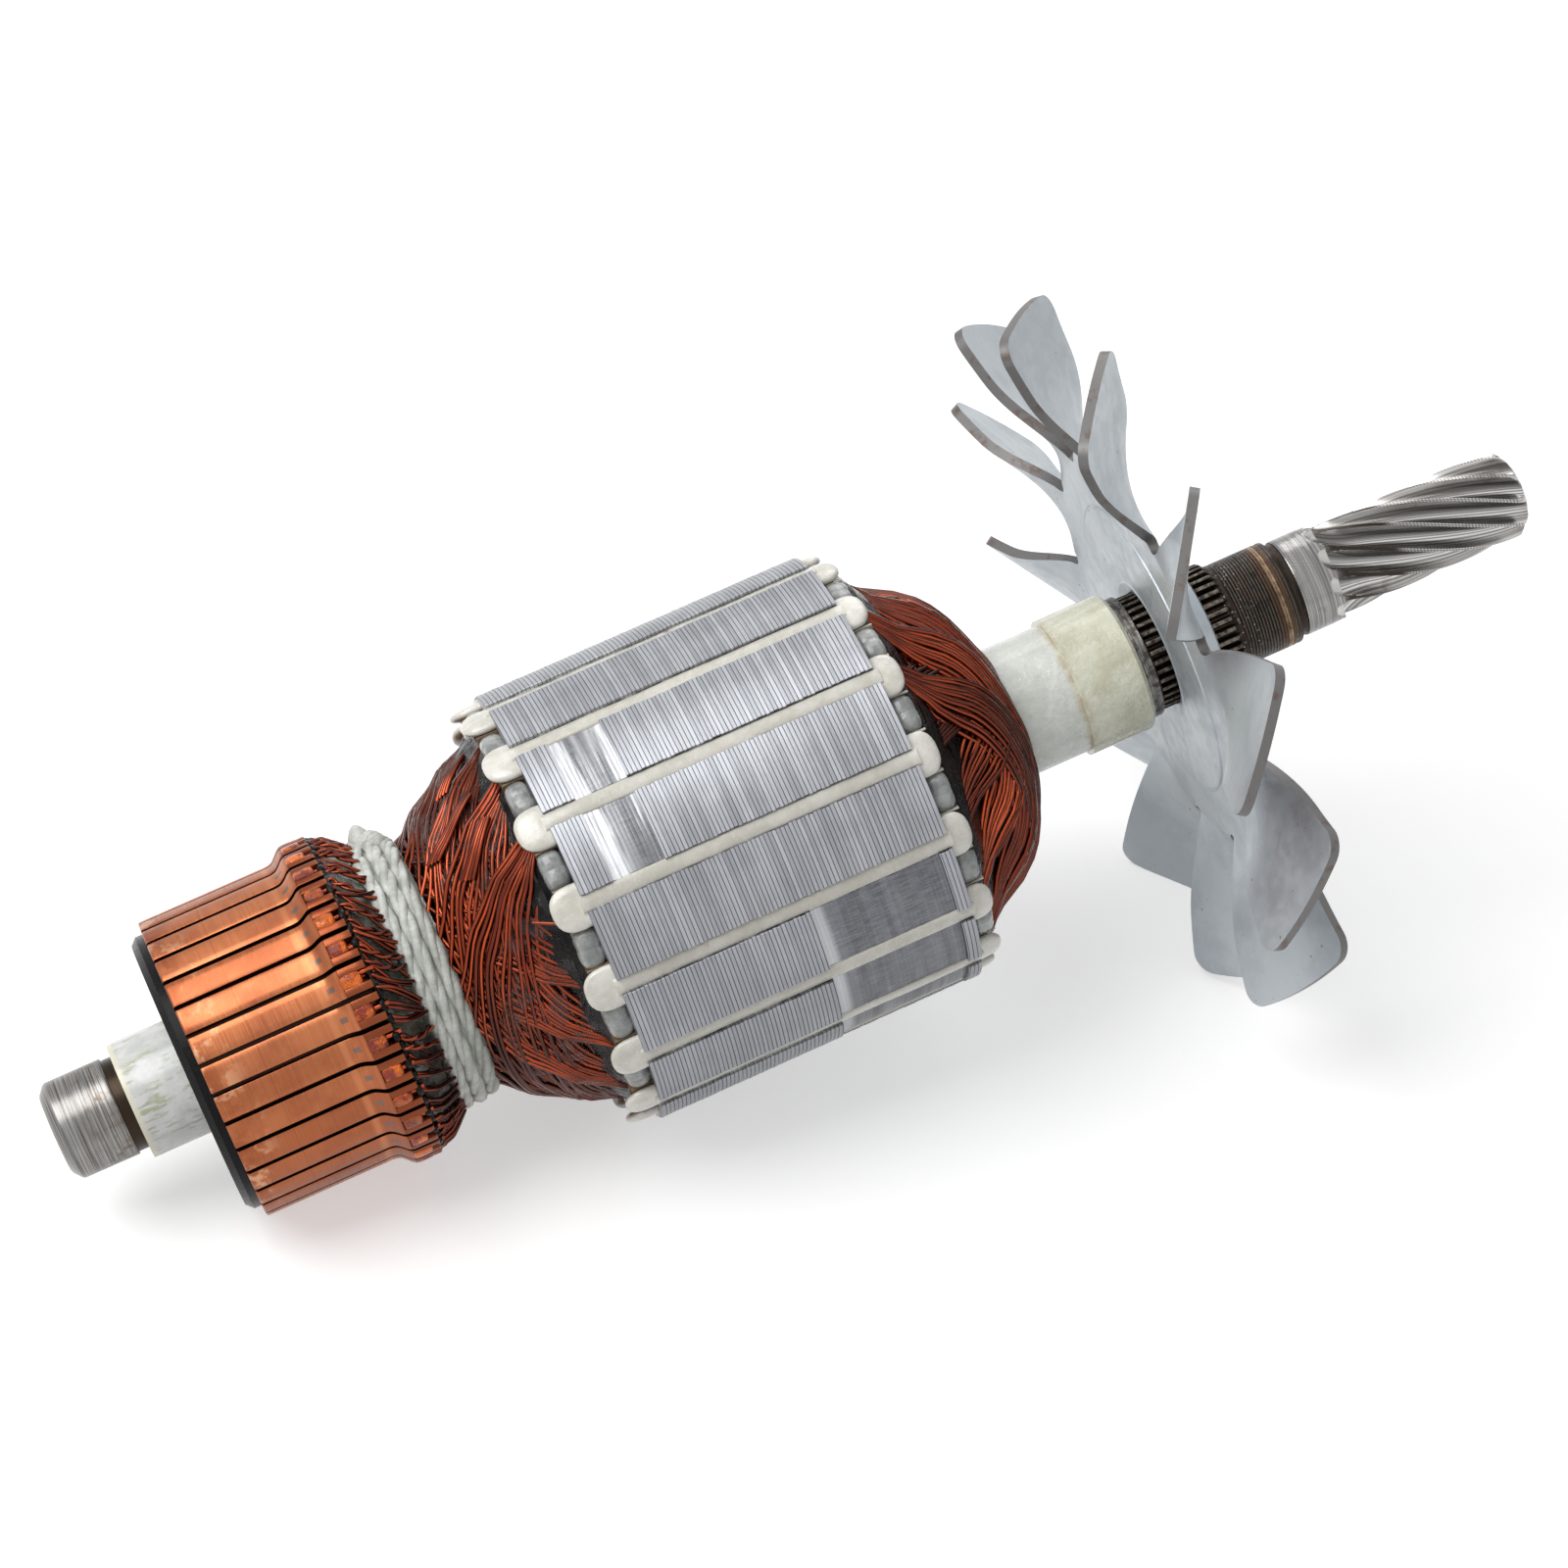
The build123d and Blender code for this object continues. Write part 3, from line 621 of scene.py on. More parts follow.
def make_wedge_board():
    """Cream varnished board of the slot wedges, brown round the commutator end, with a few stains."""
    f = Finish("wedge board", Coat_Weight=0.6, Coat_Roughness=0.08)
    f.base(f.cloud(0.3), (216, 212, 200), (242, 239, 230))
    f.over(f.at(0.5, 40.5, 0.4), (200, 197, 184), 0.5)
    f.over(f.times(f.fall(f.radius, 24.9, 25.7), f.ramp(f.along, -1.0, 5.0, 1.0, 0.35)), (140, 108, 66))
    f.over(f.times(f.cloud(0.16, 0.66, 0.74), f.cloud(0.9, 0.35, 0.6)), (122, 84, 44), 0.85)
    return f.done(f.rough(1.2, 0.16, 0.34), f.cloud(0.8), 0.2, 0.15)


def make_enamel_wire():
    """Enamelled winding wire under varnish, deep red-brown; each wire has its own tone, with painted shade towards its
    edges as seen from the camera, which leaves a painted highlight along its middle.
    """
    f = Finish("enamelled wire", 0.55, Coat_Weight=0.3, Coat_Roughness=0.04, Specular_Tint=colour(240, 160, 110))
    f.base(f.piece_uv()[1], (116, 36, 17), (206, 86, 42))
    f.over(f.cloud(0.2, 0.45, 0.7), (58, 16, 9), 0.5)
    # Painted shade towards the wire's edges as seen from the camera, leaving a painted highlight down its middle.
    facing = put(f.tree, "ShaderNodeLayerWeight", Blend=0.5).outputs["Facing"]
    f.over(f.ramp(facing, 0.02, 0.4, 0.0, 0.95), (34, 9, 6))
    return f.done(f.rough(1.0, 0.12, 0.2), f.cloud(2.5), 0.08, 0.05)


def make_dark_resin():
    """Dark glossy varnish pooled between the wires."""
    f = Finish("dark resin", Specular_IOR_Level=0.16)
    f.base(f.cloud(0.3, 0.4, 0.6), (7, 5, 6), (20, 11, 10))
    return f.done(f.rough(0.8, 0.03, 0.08), f.cloud(0.2, 0.2, 0.8), 0.5, 0.8)


def make_cone_resin():
    """Grey-green glossy resin of the cone behind the risers."""
    f = Finish("cone resin", Coat_Weight=0.5, Coat_Roughness=0.05)
    f.base(f.cloud(0.15, 0.4, 0.6), (66, 68, 60), (118, 122, 108))
    return f.done(f.rough(1.0, 0.05, 0.12), f.cloud(0.16, 0.2, 0.8), 0.4, 0.8)


def make_clear_varnish():
    """Clear varnish left as a thin wet film, cloudy in places."""
    f = Finish("clear varnish", Specular_IOR_Level=0.8)
    f.base(f.cloud(0.5, 0.45, 0.65), (16, 10, 9), (60, 50, 47))
    film = f.ramp(f.cloud(0.33, 0.42, 0.62), 0, 1, 0.05, 0.3)
    return f.done(0.05, f.cloud(0.3, 0.2, 0.8), 0.5, 0.5, Alpha=film)


def make_twine():
    """White cord soaked in varnish, greyer in its hollows, with fine fibres along it."""
    f = Finish("twine", Coat_Weight=0.35, Coat_Roughness=0.12)
    f.base(f.cloud(0.5), (200, 203, 196), (234, 235, 230))
    f.over(f.ramp(f.noise_along(f.piece_uv()[0], 0.8, 2.0), 0.45, 0.7, 0.0, 0.3), (170, 174, 158))
    f.over(f.fall(f.radius, 15.9, 16.6), (128, 134, 118), 0.5)
    return f.done(f.rough(2.0, 0.3, 0.6), f.cloud(3.5), 0.6, 0.12)


def make_zinc():
    """Blue-grey zinc-plated sheet with specks and fine scratches, and a pressed ring with a painted highlight along it
    and painted shade just inside it.
    """
    f = Finish("zinc sheet", 0.4)
    f.base(f.cloud(0.08, 0.4, 0.6), (184, 192, 198), (200, 207, 212))
    f.over(f.cloud(1.4, 0.64, 0.7, f.stretched(2.2, 0.25, 1.6)), (226, 230, 233), 0.35)
    f.over(f.specks(0.45, 0.1, 0.6), (88, 74, 66), 0.95)
    f.over(f.specks(1.1, 0.14, 0.35), (122, 124, 124), 0.8)
    f.over(f.cloud(1.8, 0.6, 0.78), (152, 160, 166), 0.25)
    # Painted highlight on the pressed ring, and painted shade just inside it.
    f.over(f.times(f.at(61.0, 72.5, 0.5), f.between(f.radius, 18.42, 18.62, 0.07)), (240, 243, 245), 0.85)
    f.over(f.between(f.radius, 18.05, 18.3, 0.1), (140, 148, 154), 0.3)
    return f.done(f.rough(0.5, 0.34, 0.46), f.cloud(2.4), 0.06, 0.05)


def make_cut_edge():
    """Sheared edge of the sheet: grey, pitted, with fine lines across and a little rust."""
    f = Finish("cut edge", 0.6)
    lines = f.noise_along(f.piece_uv()[0], 3.2, 2.0)
    f.base(f.ramp(lines, 0.35, 0.65), (66, 63, 62), (150, 149, 148))
    f.over(f.cloud(0.5, 0.52, 0.66), (96, 66, 50), 0.55)
    return f.done(f.ramp(lines, 0.3, 0.7, 0.35, 0.6), lines, 0.5, 0.08)


def make_amber():
    """Amber varnish over the wire ends in the risers."""
    f = Finish("amber varnish", 0.6, Coat_Weight=0.3, Coat_Roughness=0.03)
    f.base(f.cloud(0.5, 0.42, 0.58), (140, 42, 8), (226, 108, 16))
    f.over(f.cloud(0.12, 0.4, 0.6), (92, 30, 12), 0.5)
    return f.done(f.rough(1.5, 0.1, 0.25), f.cloud(1.1), 0.6, 0.4)


finish = {
    "ground_steel": make_ground_steel(), "dark_steel": make_dark_steel(), "pinion_steel": make_pinion_steel(),
    "copper": make_copper(), "black_moulding": make_black_moulding(), "glass_fibre": make_glass_fibre(),
    "cream_tube": make_cream_tube(), "lamination": make_lamination(), "board": make_board(),
    "wedge_board": make_wedge_board(), "wire": make_enamel_wire(), "dark_resin": make_dark_resin(),
    "cone_resin": make_cone_resin(), "clear": make_clear_varnish(), "twine": make_twine(), "zinc": make_zinc(),
    "cut_edge": make_cut_edge(), "amber": make_amber(),
}


def dress(node, name):
    """Gives a CAD node its finish."""
    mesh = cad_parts[node].data
    mesh.materials.clear()
    mesh.materials.append(finish[name])


for number in range(1, BARS + 1):
    dress(f"commutator_bar_{number:02d}", "copper")
for number in range(1, SLOTS + 1):
    dress(f"slot_wedge_{number:02d}", "wedge_board")
for node, name in (("commutator_hub", "black_moulding"), ("commutator_end_tube", "glass_fibre"),
                   ("fan_end_tube", "cream_tube"), ("laminated_core", "lamination"),
                   ("commutator_end_insulator", "board"), ("fan_end_insulator", "board"),
                   ("slot_liners", "wedge_board"), ("lead_wires", "cone_resin"), ("twine_band", "twine")):
    dress(node, name)

# Shaft
SERRATIONS, SERRATION_ROOT, SERRATION_CREST = 36, 6.28, 7.2
PINION_TEETH, PINION_RADIUS, PINION_TURN, PINION_PHASE = 10, 5.5, 4.93, -12.45
GULLET_DEPTH, CUTTER_RADIUS, CUTTER_OUT = 1.55, 8.5, 103.4


def make_shaft():
    """The whole shaft. Turned lengths are profiles carried round the axis; the serrations and the pinion
    are grids whose radius is a function of the place along the shaft and of the angle round it. A gullet of
    the pinion gets shallower by the cutter's arc where the cutter leaves it."""
    shaft = Piece("shaft_surface")
    seat = [(-64.9, 0.9), (-64.9, 4.6), (-64.75, 4.95), (-64.0, 5.85), (-63.7, 6.0), (-56.95, 6.0), (-56.85, 5.95),
            (-56.85, 5.72), (-55.5, 5.72), (-55.5, 6.15), (72.6, 6.15), (72.7, 7.35), (72.9, 7.58), (73.1, 7.6),
            (74.05, 7.6), (74.2, 7.5), (74.25, 6.2), (86.1, 6.2)]
    turned(shaft, rounded(seat, 3.0), 96)

    along = np.concatenate([[74.15, 74.4], np.linspace(74.7, 84.4, 12), np.linspace(84.6, 86.0, 8)])[:, None]
    angle = np.arange(SERRATIONS * 10) * 360 / (SERRATIONS * 10)
    shape = smooth_step(0.25, 0.72, np.cos(np.radians(angle * SERRATIONS)) * 0.5 + 0.5)
    root = SERRATION_ROOT + smooth_step(84.5, 85.9, along) * 0.2
    crest = SERRATION_CREST - 0.72 * smooth_step(84.9, 85.7, along) - 0.15 * (along < 74.3)
    shaft.tube(placed(along, np.maximum(root, root + (crest - root) * shape), angle), 1)

    profile = [(85.5, 6.1)]
    for number in range(GROOVES):
        start = GROOVES_FROM + number * GROOVE_PITCH
        profile += [(start, 6.38), (start + 0.12, 6.46), (start + 0.26, 6.46)]
    profile += [(92.4, 6.4), (92.9, 6.46), (93.15, 6.4), (93.3, 6.1), (93.32, 5.86), (94.15, 5.86), (94.2, 6.0),
                (94.2, 5.8)]
    turned(shaft, profile, 96, 1)

    along = np.concatenate([
        [94.15, 94.2, 94.4], np.arange(95.0, 97.4, 0.6), np.arange(97.4, 104.0, 0.12), np.arange(104.0, 122.6, 0.45),
        [122.9, 123.2, 123.5, 123.75, 124.0, 124.25, 124.5, 124.75, 124.9]])[:, None]
    share = np.concatenate([np.linspace(0, 0.06, 3), np.linspace(0.06, 0.94, 31)[1:], [0.97]])
    step = 360 / PINION_TEETH
    local = (share + np.arange(PINION_TEETH)[:, None]).reshape(1, -1) * 360 / PINION_TEETH
    blank = np.interp(along, [94.15, 94.2, 94.4, 99.1, 99.2, 122.8, 123.2, 123.75, 124.25, 124.75, 124.9],
                      [5.75, 6.0, 6.05, 6.05, 5.5, 5.5, 5.42, 4.95, 4.35, 3.2, 2.2])
    leaving = CUTTER_RADIUS - np.sqrt(CUTTER_RADIUS**2 - np.clip(CUTTER_OUT - along, 0, 8.4) ** 2)
    from_crest = np.abs((local + step / 2) % step - step / 2)
    reach = np.clip((step / 2 - from_crest) / (step / 2 - 2.2), 0, 1)
    gullet = PINION_RADIUS - (GULLET_DEPTH - leaving) + 1.75 * (1 - np.sqrt(1 - reach**2.6))
    angle = PINION_PHASE + PINION_TURN * (along - 115.0) + local
    shaft.tube(placed(along, np.minimum(blank, gullet), angle), 2, pair((local / step) % 1, along))
    piece = shaft.build([finish["ground_steel"], finish["dark_steel"], finish["pinion_steel"]], 30)
    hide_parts("shaft")


make_shaft()

# Fan
BLADES, BLADE_PHASE, BLADE_PITCH, SHEET, FAN_MIDDLE = 12, -24.5, 34.5, 1.2, 76.85
SLIT_ROOT, SLIT_MIDDLE, SLIT_RADIUS = 24.2, 25.25, 1.05
CORNER_FROM, CORNER_RADIUS = 41.95, 2.5


def make_fan():
    """The stamped fan. One sector is a grid over radius and width: the half width follows the sector in the
    disc, a round slit root, the widening blade and its rounded tip corners. The blade part is then turned
    about its middle line by a pitch that grows with radius. Both faces lie half the sheet off that surface."""
    across = np.linspace(-1, 1, 17)
    disc = [8.6, 12.0, 15.0, 17.6, 18.25, 18.35, 18.42, 18.58, 18.65, 18.8, 19.6, 22.0, SLIT_ROOT]
    notch = SLIT_MIDDLE - SLIT_RADIUS * np.cos(np.linspace(0, np.pi / 2, 7)[1:])
    corner = CORNER_FROM + CORNER_RADIUS * np.sin(np.linspace(0, np.pi / 2, 8))
    rho = np.concatenate([disc, notch, np.arange(26.0, 41.8, 0.9), [41.9], corner])[:, None]
    sector = radians(180 / BLADES)
    half = np.interp(rho, [24.5, 44.5], [5.52, 9.15])
    beside_slit = rho * np.sin(sector) - np.sqrt(np.clip(SLIT_RADIUS**2 - (rho - SLIT_MIDDLE) ** 2, 0, None))
    half = np.where((rho > SLIT_ROOT) & (rho < SLIT_MIDDLE + 0.01), beside_slit, half)
    rounding = np.sqrt(np.clip(CORNER_RADIUS**2 - (rho - CORNER_FROM) ** 2, 0, None))
    half = np.where(rho > CORNER_FROM, half - CORNER_RADIUS + rounding, half)
    turn = np.where(rho <= SLIT_ROOT, sector, np.arcsin(half / rho)) * across
    y, z = rho * np.cos(turn), rho * np.sin(turn)
    pitch = radians(BLADE_PITCH) * np.sin(np.pi / 2 * np.clip((y - 24.0) / 12.5, 0, 1))
    pitch = np.where(rho <= SLIT_ROOT, 0, pitch)
    pressed = 0.2 * ((rho > 18.38) & (rho < 18.62)) - 0.12 * (rho < 18.6)
    s = FAN_MIDDLE - 1.9 * smooth_step(24, 45, y) - z * np.sin(pitch) + pressed
    middle = np.stack([s, y, z * np.cos(pitch)], axis=-1)
    out = np.cross(np.gradient(middle, axis=1), np.gradient(middle, axis=0))
    out /= np.linalg.norm(out, axis=2, keepdims=True)
    out = np.where(out[..., :1] < 0, out, -out)
    out = np.where(rho[..., None] < 20.0, (-1.0, 0.0, 0.0), out)
    rim_rows, last = np.flatnonzero(rho >= SLIT_ROOT), len(across) - 1
    rim = [(row, 0) for row in rim_rows] + [(len(rho) - 1, column) for column in range(1, last)]
    rows, columns = np.array(rim + [(row, last) for row in rim_rows[::-1]]).T
    fan = Piece("fan_sheet")
    for number in range(BLADES):
        front, back = (
            placed(face[..., 0], np.hypot(face[..., 1], face[..., 2]),
                   np.degrees(np.arctan2(face[..., 2], face[..., 1])) + (BLADE_PHASE + number * 360 / BLADES))
            for face in (middle + out * SHEET / 2, middle - out * SHEET / 2))
        fan.grid(front)
        fan.grid(back, flip=True)
        fan.grid(np.stack([back[0], front[0]]))
        edge = np.stack([front[rows, columns], back[rows, columns]])
        length = np.concatenate([[0], np.linalg.norm(np.diff(edge[0], axis=0), axis=1).cumsum()]) / MM + number * 31
        fan.grid(edge, 1, uv=pair(length, np.array([[0.0], [1.0]])))
    neck = [(76.4, 7.25), (81.9, 7.25), (82.15, 7.5), (82.2, 8.2), (82.0, 8.5), (79.0, 8.5), (78.0, 8.9),
            (77.45, 9.8), (76.9, 10.4), (76.0, 8.6)]
    turned(fan, neck[::-1], 72, hollow=True)
    piece = fan.build([finish["zinc"], finish["cut_edge"]], 40, weld=True, outward=True)
    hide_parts("fan")


make_fan()

# Core, wedges and end insulators
CORE_RADIUS, FLAT_RADIUS, LIP_RADIUS, LIP_FOOT, SLOT_HALF = 27.0, 26.42, 26.0, 24.6, 2.65
FRONT_FLAT, FRONT_TEETH = (4.0, 10.4), (0, 1)
REAR_FLAT, REAR_TEETH = (23.2, 39.3), (3, 4, 5)


def make_core():
    """The stack of sheets, one closed strip for each tooth. Along the shaft every sheet is a level run with a
    V groove on both sides, and its radius and slot edges differ a little from the next one's. On the milled
    teeth the radius drops to the flat between the ends of the cut."""
    core = Piece("core_sheets")
    half = SLOT_STEP / 2
    edge, number = np.arange(SHEETS + 1) * SHEET_PITCH, np.arange(SHEETS)
    for tooth in range(SLOTS):
        draw = np.random.default_rng(900 + tooth)
        flats = [FRONT_FLAT] * (tooth in FRONT_TEETH) + [REAR_FLAT] * (tooth in REAR_TEETH)
        extra = np.array([(low - 0.01, low + 0.01, high - 0.01, high + 0.01) for low, high in flats]).reshape(-1)
        along = np.concatenate([edge, edge[:-1] + 0.04, edge[1:] - 0.04, extra])
        inset = np.concatenate([np.full(SHEETS + 1, 0.08), np.zeros(2 * SHEETS + len(extra))])
        sheet = np.concatenate([number, [SHEETS - 1], number, number, np.floor(extra / SHEET_PITCH).astype(int)])
        order = np.argsort(along, kind="stable")
        along, inset, sheet = along[order, None], inset[order, None], sheet[order]
        outer = CORE_RADIUS - 0.02 + draw.uniform(-0.03, 0.02, SHEETS)[sheet, None] - inset
        for low, high in flats:
            outer = np.where((along > low) & (along < high), FLAT_RADIUS - inset * 0.12, outer)
        left, right = (1.0 + draw.uniform(-0.05, 0.06, SHEETS)[sheet, None] + inset * 0.9 for _ in range(2))
        lip, seat = np.full_like(outer, LIP_RADIUS), np.full_like(outer, LIP_FOOT)

        def bearing(width, radius):
            return np.degrees(np.arcsin(width / radius))

        start, end = bearing(left + 0.04, outer) - half, half - bearing(right + 0.04, outer)
        under = [bearing(SLOT_HALF, seat), bearing(SLOT_HALF, lip)]
        radii = np.hstack([seat, lip, lip, outer - 0.05, np.repeat(outer, 7, axis=1), outer - 0.05, lip, lip, seat])
        turns = np.hstack([
            np.hstack([*under, bearing(left, lip), bearing(left, outer)]) - half,
            start + (end - start) * np.linspace(0, 1, 7),
            half - np.hstack([bearing(right, outer), bearing(right, lip), *under[::-1]])])
        core.tube(placed(along, radii, turns + (SLOT_PHASE + (tooth + 0.5) * SLOT_STEP)))
    piece = core.build([finish["lamination"]], 25)
    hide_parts("laminated_core")


def make_wedges():
    """The slot wedges: a rounded rib in each slot opening, uneven under its varnish, and a rounded paddle on
    both ends."""
    wedges = Piece("wedge_strips")
    slot = np.arange(SLOTS)[:, None, None]
    along = np.linspace(-0.4, 41.4, 70)[None, :, None]
    turn = np.arange(12) * np.pi / 6
    side = 1.04 * bent(np.cos(turn), 0.5)
    top = 26.15 + (0.52 + 0.05 * waves(51, 5, slot * 1.3, along / 3, top=3.0)) * bent(np.sin(turn), 0.6)
    bearing = SLOT_PHASE + slot * SLOT_STEP
    wedges.tube(placed(along, np.hypot(top, side), bearing + np.degrees(np.arctan2(side, top))), flip=True)
    for middle, half in ((-0.85, 2.95), (41.75, 2.25)):
        at = middle + random.normal(0, 0.06, SLOTS)
        pillows(wedges, at, 25.55, bearing[:, 0, 0], (half, 2.7, 0.8), rows=14, sides=24, power=0.8)
    piece = wedges.build([finish["wedge_board"]], 60, weld=True)
    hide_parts(*[f"slot_wedge_{number:02d}" for number in range(1, 17)])


def make_insulator(name, node, low, high, seed):
    """An end insulator: a ring under the coil ends and two rounded lobes between each pair of slots."""
    draw = np.random.default_rng(seed)
    board = Piece(name)
    turned(board, [(low, 8.0), (low, 23.8), (high, 23.8), (high, 8.0)], 96)
    middle = SLOT_PHASE + (np.arange(SLOTS) + 0.5) * SLOT_STEP
    for side in (-1, 1):
        at = (low + high) / 2 + draw.normal(0, 0.06, SLOTS)
        size = ((high - low) / 2 + 0.2, 1.75, 1.6 + draw.normal(0, 0.06, SLOTS))
        bearing = middle + side * 1.7 + draw.normal(0, 0.15, SLOTS)
        pillows(board, at, 23.9, bearing, size, rows=10, sides=18, power=0.75)
    piece = board.build([finish["board"]], 60, weld=True)
    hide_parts(node)


make_core()
make_wedges()
make_insulator("front_insulator_lobes", "commutator_end_insulator", -2.6, 0.0, 61)
make_insulator("rear_insulator_lobes", "fan_end_insulator", 41.0, 43.6, 62)

# Winding
WIRE, TOP_START = 0.6, 25.0  # TOP_START is the angle where the coil wound last begins
LAYERS = ((11, 0.0, 0.0), (8, 0.55, 1.4))
FRONT_PROFILE = np.array([
    (-2.6, 24.5), (-4, 23.5), (-5, 22.9), (-6, 22.5), (-7, 22.1), (-8, 21.5), (-9, 20.8), (-10, 20.0), (-11, 19.4),
    (-12, 18.9), (-13, 18.2), (-14, 17.3), (-15, 16.4), (-16.5, 15.6), (-19, 14.6)])
REAR_PROFILE = np.array([
    (43.4, 25.4), (44.5, 24.8), (45, 24.0), (46, 22.8), (47, 21.5), (48, 20.7), (49, 20.0), (50, 19.5), (51, 18.9),
    (52, 18.1), (53, 17.1), (54, 15.8), (55, 14.0), (56, 11.7), (57, 9.4), (57.7, 8.1)])


def off_profile(profile, r, depth):
    """The point of the head's outline at radius r, moved into the head by depth along its normal, and the
    normal."""
    order = np.argsort(profile[:, 1])
    radii, at = profile[order, 1], profile[order, 0]
    slope = (np.interp(r + 0.4, radii, at) - np.interp(r - 0.4, radii, at)) / 0.8
    outward = np.sign(profile[-1, 0] - profile[0, 0])
    size = np.hypot(outward, -outward * slope)
    normal_s, normal_r = outward / size, -outward * slope / size
    return np.interp(r, radii, at) - depth * normal_s, r - depth * normal_r, normal_s, normal_r


def head_wires(name, profile, closest, seed):
    """Wires of one winding head. Each coil leaves its slot, bends round the shaft as a straight line seen from
    the end would, with its own closest distance, and ends six slots on. The angle runs evenly along the wire
    and the radius is the closest distance over the cosine. Wires of a coil keep their order, the closest one
    on top, in small bundles, and each coil lies over the one wound before it, one slot further on."""
    draw = np.random.default_rng(seed)
    t = np.linspace(0, 1, 38)[None, :]
    piece = Piece(name)
    for wires, deeper, farther in LAYERS:
        slot = np.repeat(np.arange(SLOTS), wires)
        order = np.tile(np.arange(wires), SLOTS)
        rank = order / (wires - 1)
        coil = draw.normal(0, 1, (SLOTS, 4))[slot]
        bundle = draw.normal(0, 1, (SLOTS, wires, 3))[slot, order // 4]
        single = draw.normal(0, 1, (len(slot), 4))
        near = closest[0] + (closest[1] - closest[0]) * rank + farther + 0.3 * coil[:, 0] + 0.2 * bundle[:, 0]
        near = np.maximum(near + 0.1 * single[:, 0], closest[0] - 0.2)[:, None]
        spread = (rank - 0.5) * 5.5
        start = SLOT_PHASE + slot * SLOT_STEP + spread + 0.6 * coil[:, 1] + 0.5 * bundle[:, 1] + 0.3 * single[:, 1]
        span = 6 * SLOT_STEP - 2 * spread + 0.8 * bundle[:, 2] + 0.3 * single[:, 2]
        r = near / np.cos((t - 0.5) * 2 * np.arccos(np.clip(near / 24.3, 0, 1)))
        slot, rank = slot[:, None], rank[:, None]
        angle = start[:, None] + span[:, None] * t
        angle = angle + waves(seed + 1, 4, slot * 1.7, t, top=4.0) * np.sin(np.pi * t)
        stack = (TOP_START - SLOT_PHASE - slot * SLOT_STEP) % 360 / 360
        depth = 0.3 + 0.6 * rank + deeper + 2.0 * stack ** 0.8
        depth = depth + 0.12 * waves(seed + 2, 4, slot * 2.3 + rank, t, top=5.0) + 0.07 * single[:, 3:]
        depth = np.maximum(depth, 0.3) + 0.7 * (1 - smooth_step(0, 0.05, np.minimum(t, 1 - t)))
        s, radius, normal_s, normal_r = off_profile(profile, r, depth)
        paths = placed(s, radius, angle)
        out = placed(s + normal_s, radius + normal_r, angle) - paths
        tint = np.clip(0.5 + 0.14 * coil[:, 3] + 0.2 * single[:, 3], 0, 1)
        strands(piece, paths, out / MM, WIRE, 6, tint)
    piece.build([finish["wire"]], 80)


def make_head_resin(name, profile, seed):
    """The varnished mass under the wires: the head's outline, drawn in, with slow waves, and rising between
    the bundles towards the core. Where only the deeper coils pass, round the back, it lies deeper too."""
    piece = Piece(name)
    outline = rounded(profile, 0.7)
    angle = np.arange(256) * 360 / 256
    turn = np.radians(angle)[None, :]
    near_core = 1 - smooth_step(0.0, 6.5, np.abs(outline[:, :1] - outline[0, 0]))
    between = 0.5 - 0.5 * np.cos(np.radians(angle * SLOTS - SLOT_PHASE * SLOTS))
    wave = waves(seed, 7, np.sin(turn) * 4, np.cos(turn) * 4, outline[:, :1] / 3, top=3.0)
    stack = (TOP_START - angle) % 360 / 360
    deeper = 2.4 * np.maximum(stack ** 0.8 - 0.25, 0) * (1 - smooth_step(0.6, 0.66, stack))
    depth = 1.8 - near_core * (0.7 + 0.4 * between) + 0.25 * wave + deeper
    s, radius, _, _ = off_profile(profile, outline[:, 1:], depth)
    mouth, tail = placed(outline[:1, :1], 9.0, angle), placed(outline[-1:, :1], 7.2, angle)
    points = np.concatenate([mouth, placed(s, radius, angle), tail])
    piece.tube(points, flip=profile[-1, 0] < profile[0, 0])
    return piece.build([finish["dark_resin"]], 60)


def make_varnish_film(name, outline, depth, lumps, seed):
    """A thin closed skin of clear varnish round the shaft: the outline sunk by a depth, with lumps of seeded
    waves, so that it shows only where it stands above what it covers."""
    piece = Piece(name)
    outline = rounded(outline, 0.5)
    turn = np.radians(np.arange(320) * 360 / 320)[None, :]
    wave = waves(seed, 8, np.sin(turn) * 6, np.cos(turn) * 6, outline[:, :1] / 2.2, top=3.2)
    ends = np.minimum(np.arange(len(outline)), np.arange(len(outline))[::-1])
    fade = smooth_step(0, 2, ends.astype(float))[:, None]
    skin = outline[:, 1:] - depth + lumps * wave * fade - 1.2 * (1 - fade)
    under = outline[::-1, 1:] - depth - 2.4 + 0 * turn
    along = np.concatenate([outline[:, :1], outline[::-1, :1]])
    points = placed(along, np.concatenate([skin, under]), np.degrees(turn))
    piece.grid(points, around=True, along_closed=True, flip=outline[-1, 0] < outline[0, 0])
    piece.build([finish["clear"]], 60)


def make_loose_wires():
    """Short wires lying across the front bundles: straight runs over place and angle, lifted in the middle."""
    piece = Piece("loose_wires")
    t = np.linspace(0, 1, 14)[None, :]
    number = np.arange(4)[:, None]
    for s0, a0, s1, a1 in ((-13.6, 7.0, -6.6, -3.0), (-11.0, 22.0, -6.0, 9.0), (-9.5, -14.0, -5.2, -22.0)):
        s = s0 + (s1 - s0) * t + 0.42 * number - 0.2 * number * t
        angle = a0 + (a1 - a0) * t + 0.7 * number * (1 - 0.5 * t)
        r = np.interp(s, FRONT_PROFILE[::-1, 0], FRONT_PROFILE[::-1, 1]) - 0.15 - 0.25 * (2 * t - 1) ** 2
        lay(piece, s, r, angle, WIRE, 6)
    piece.build([finish["wire"]], 80)


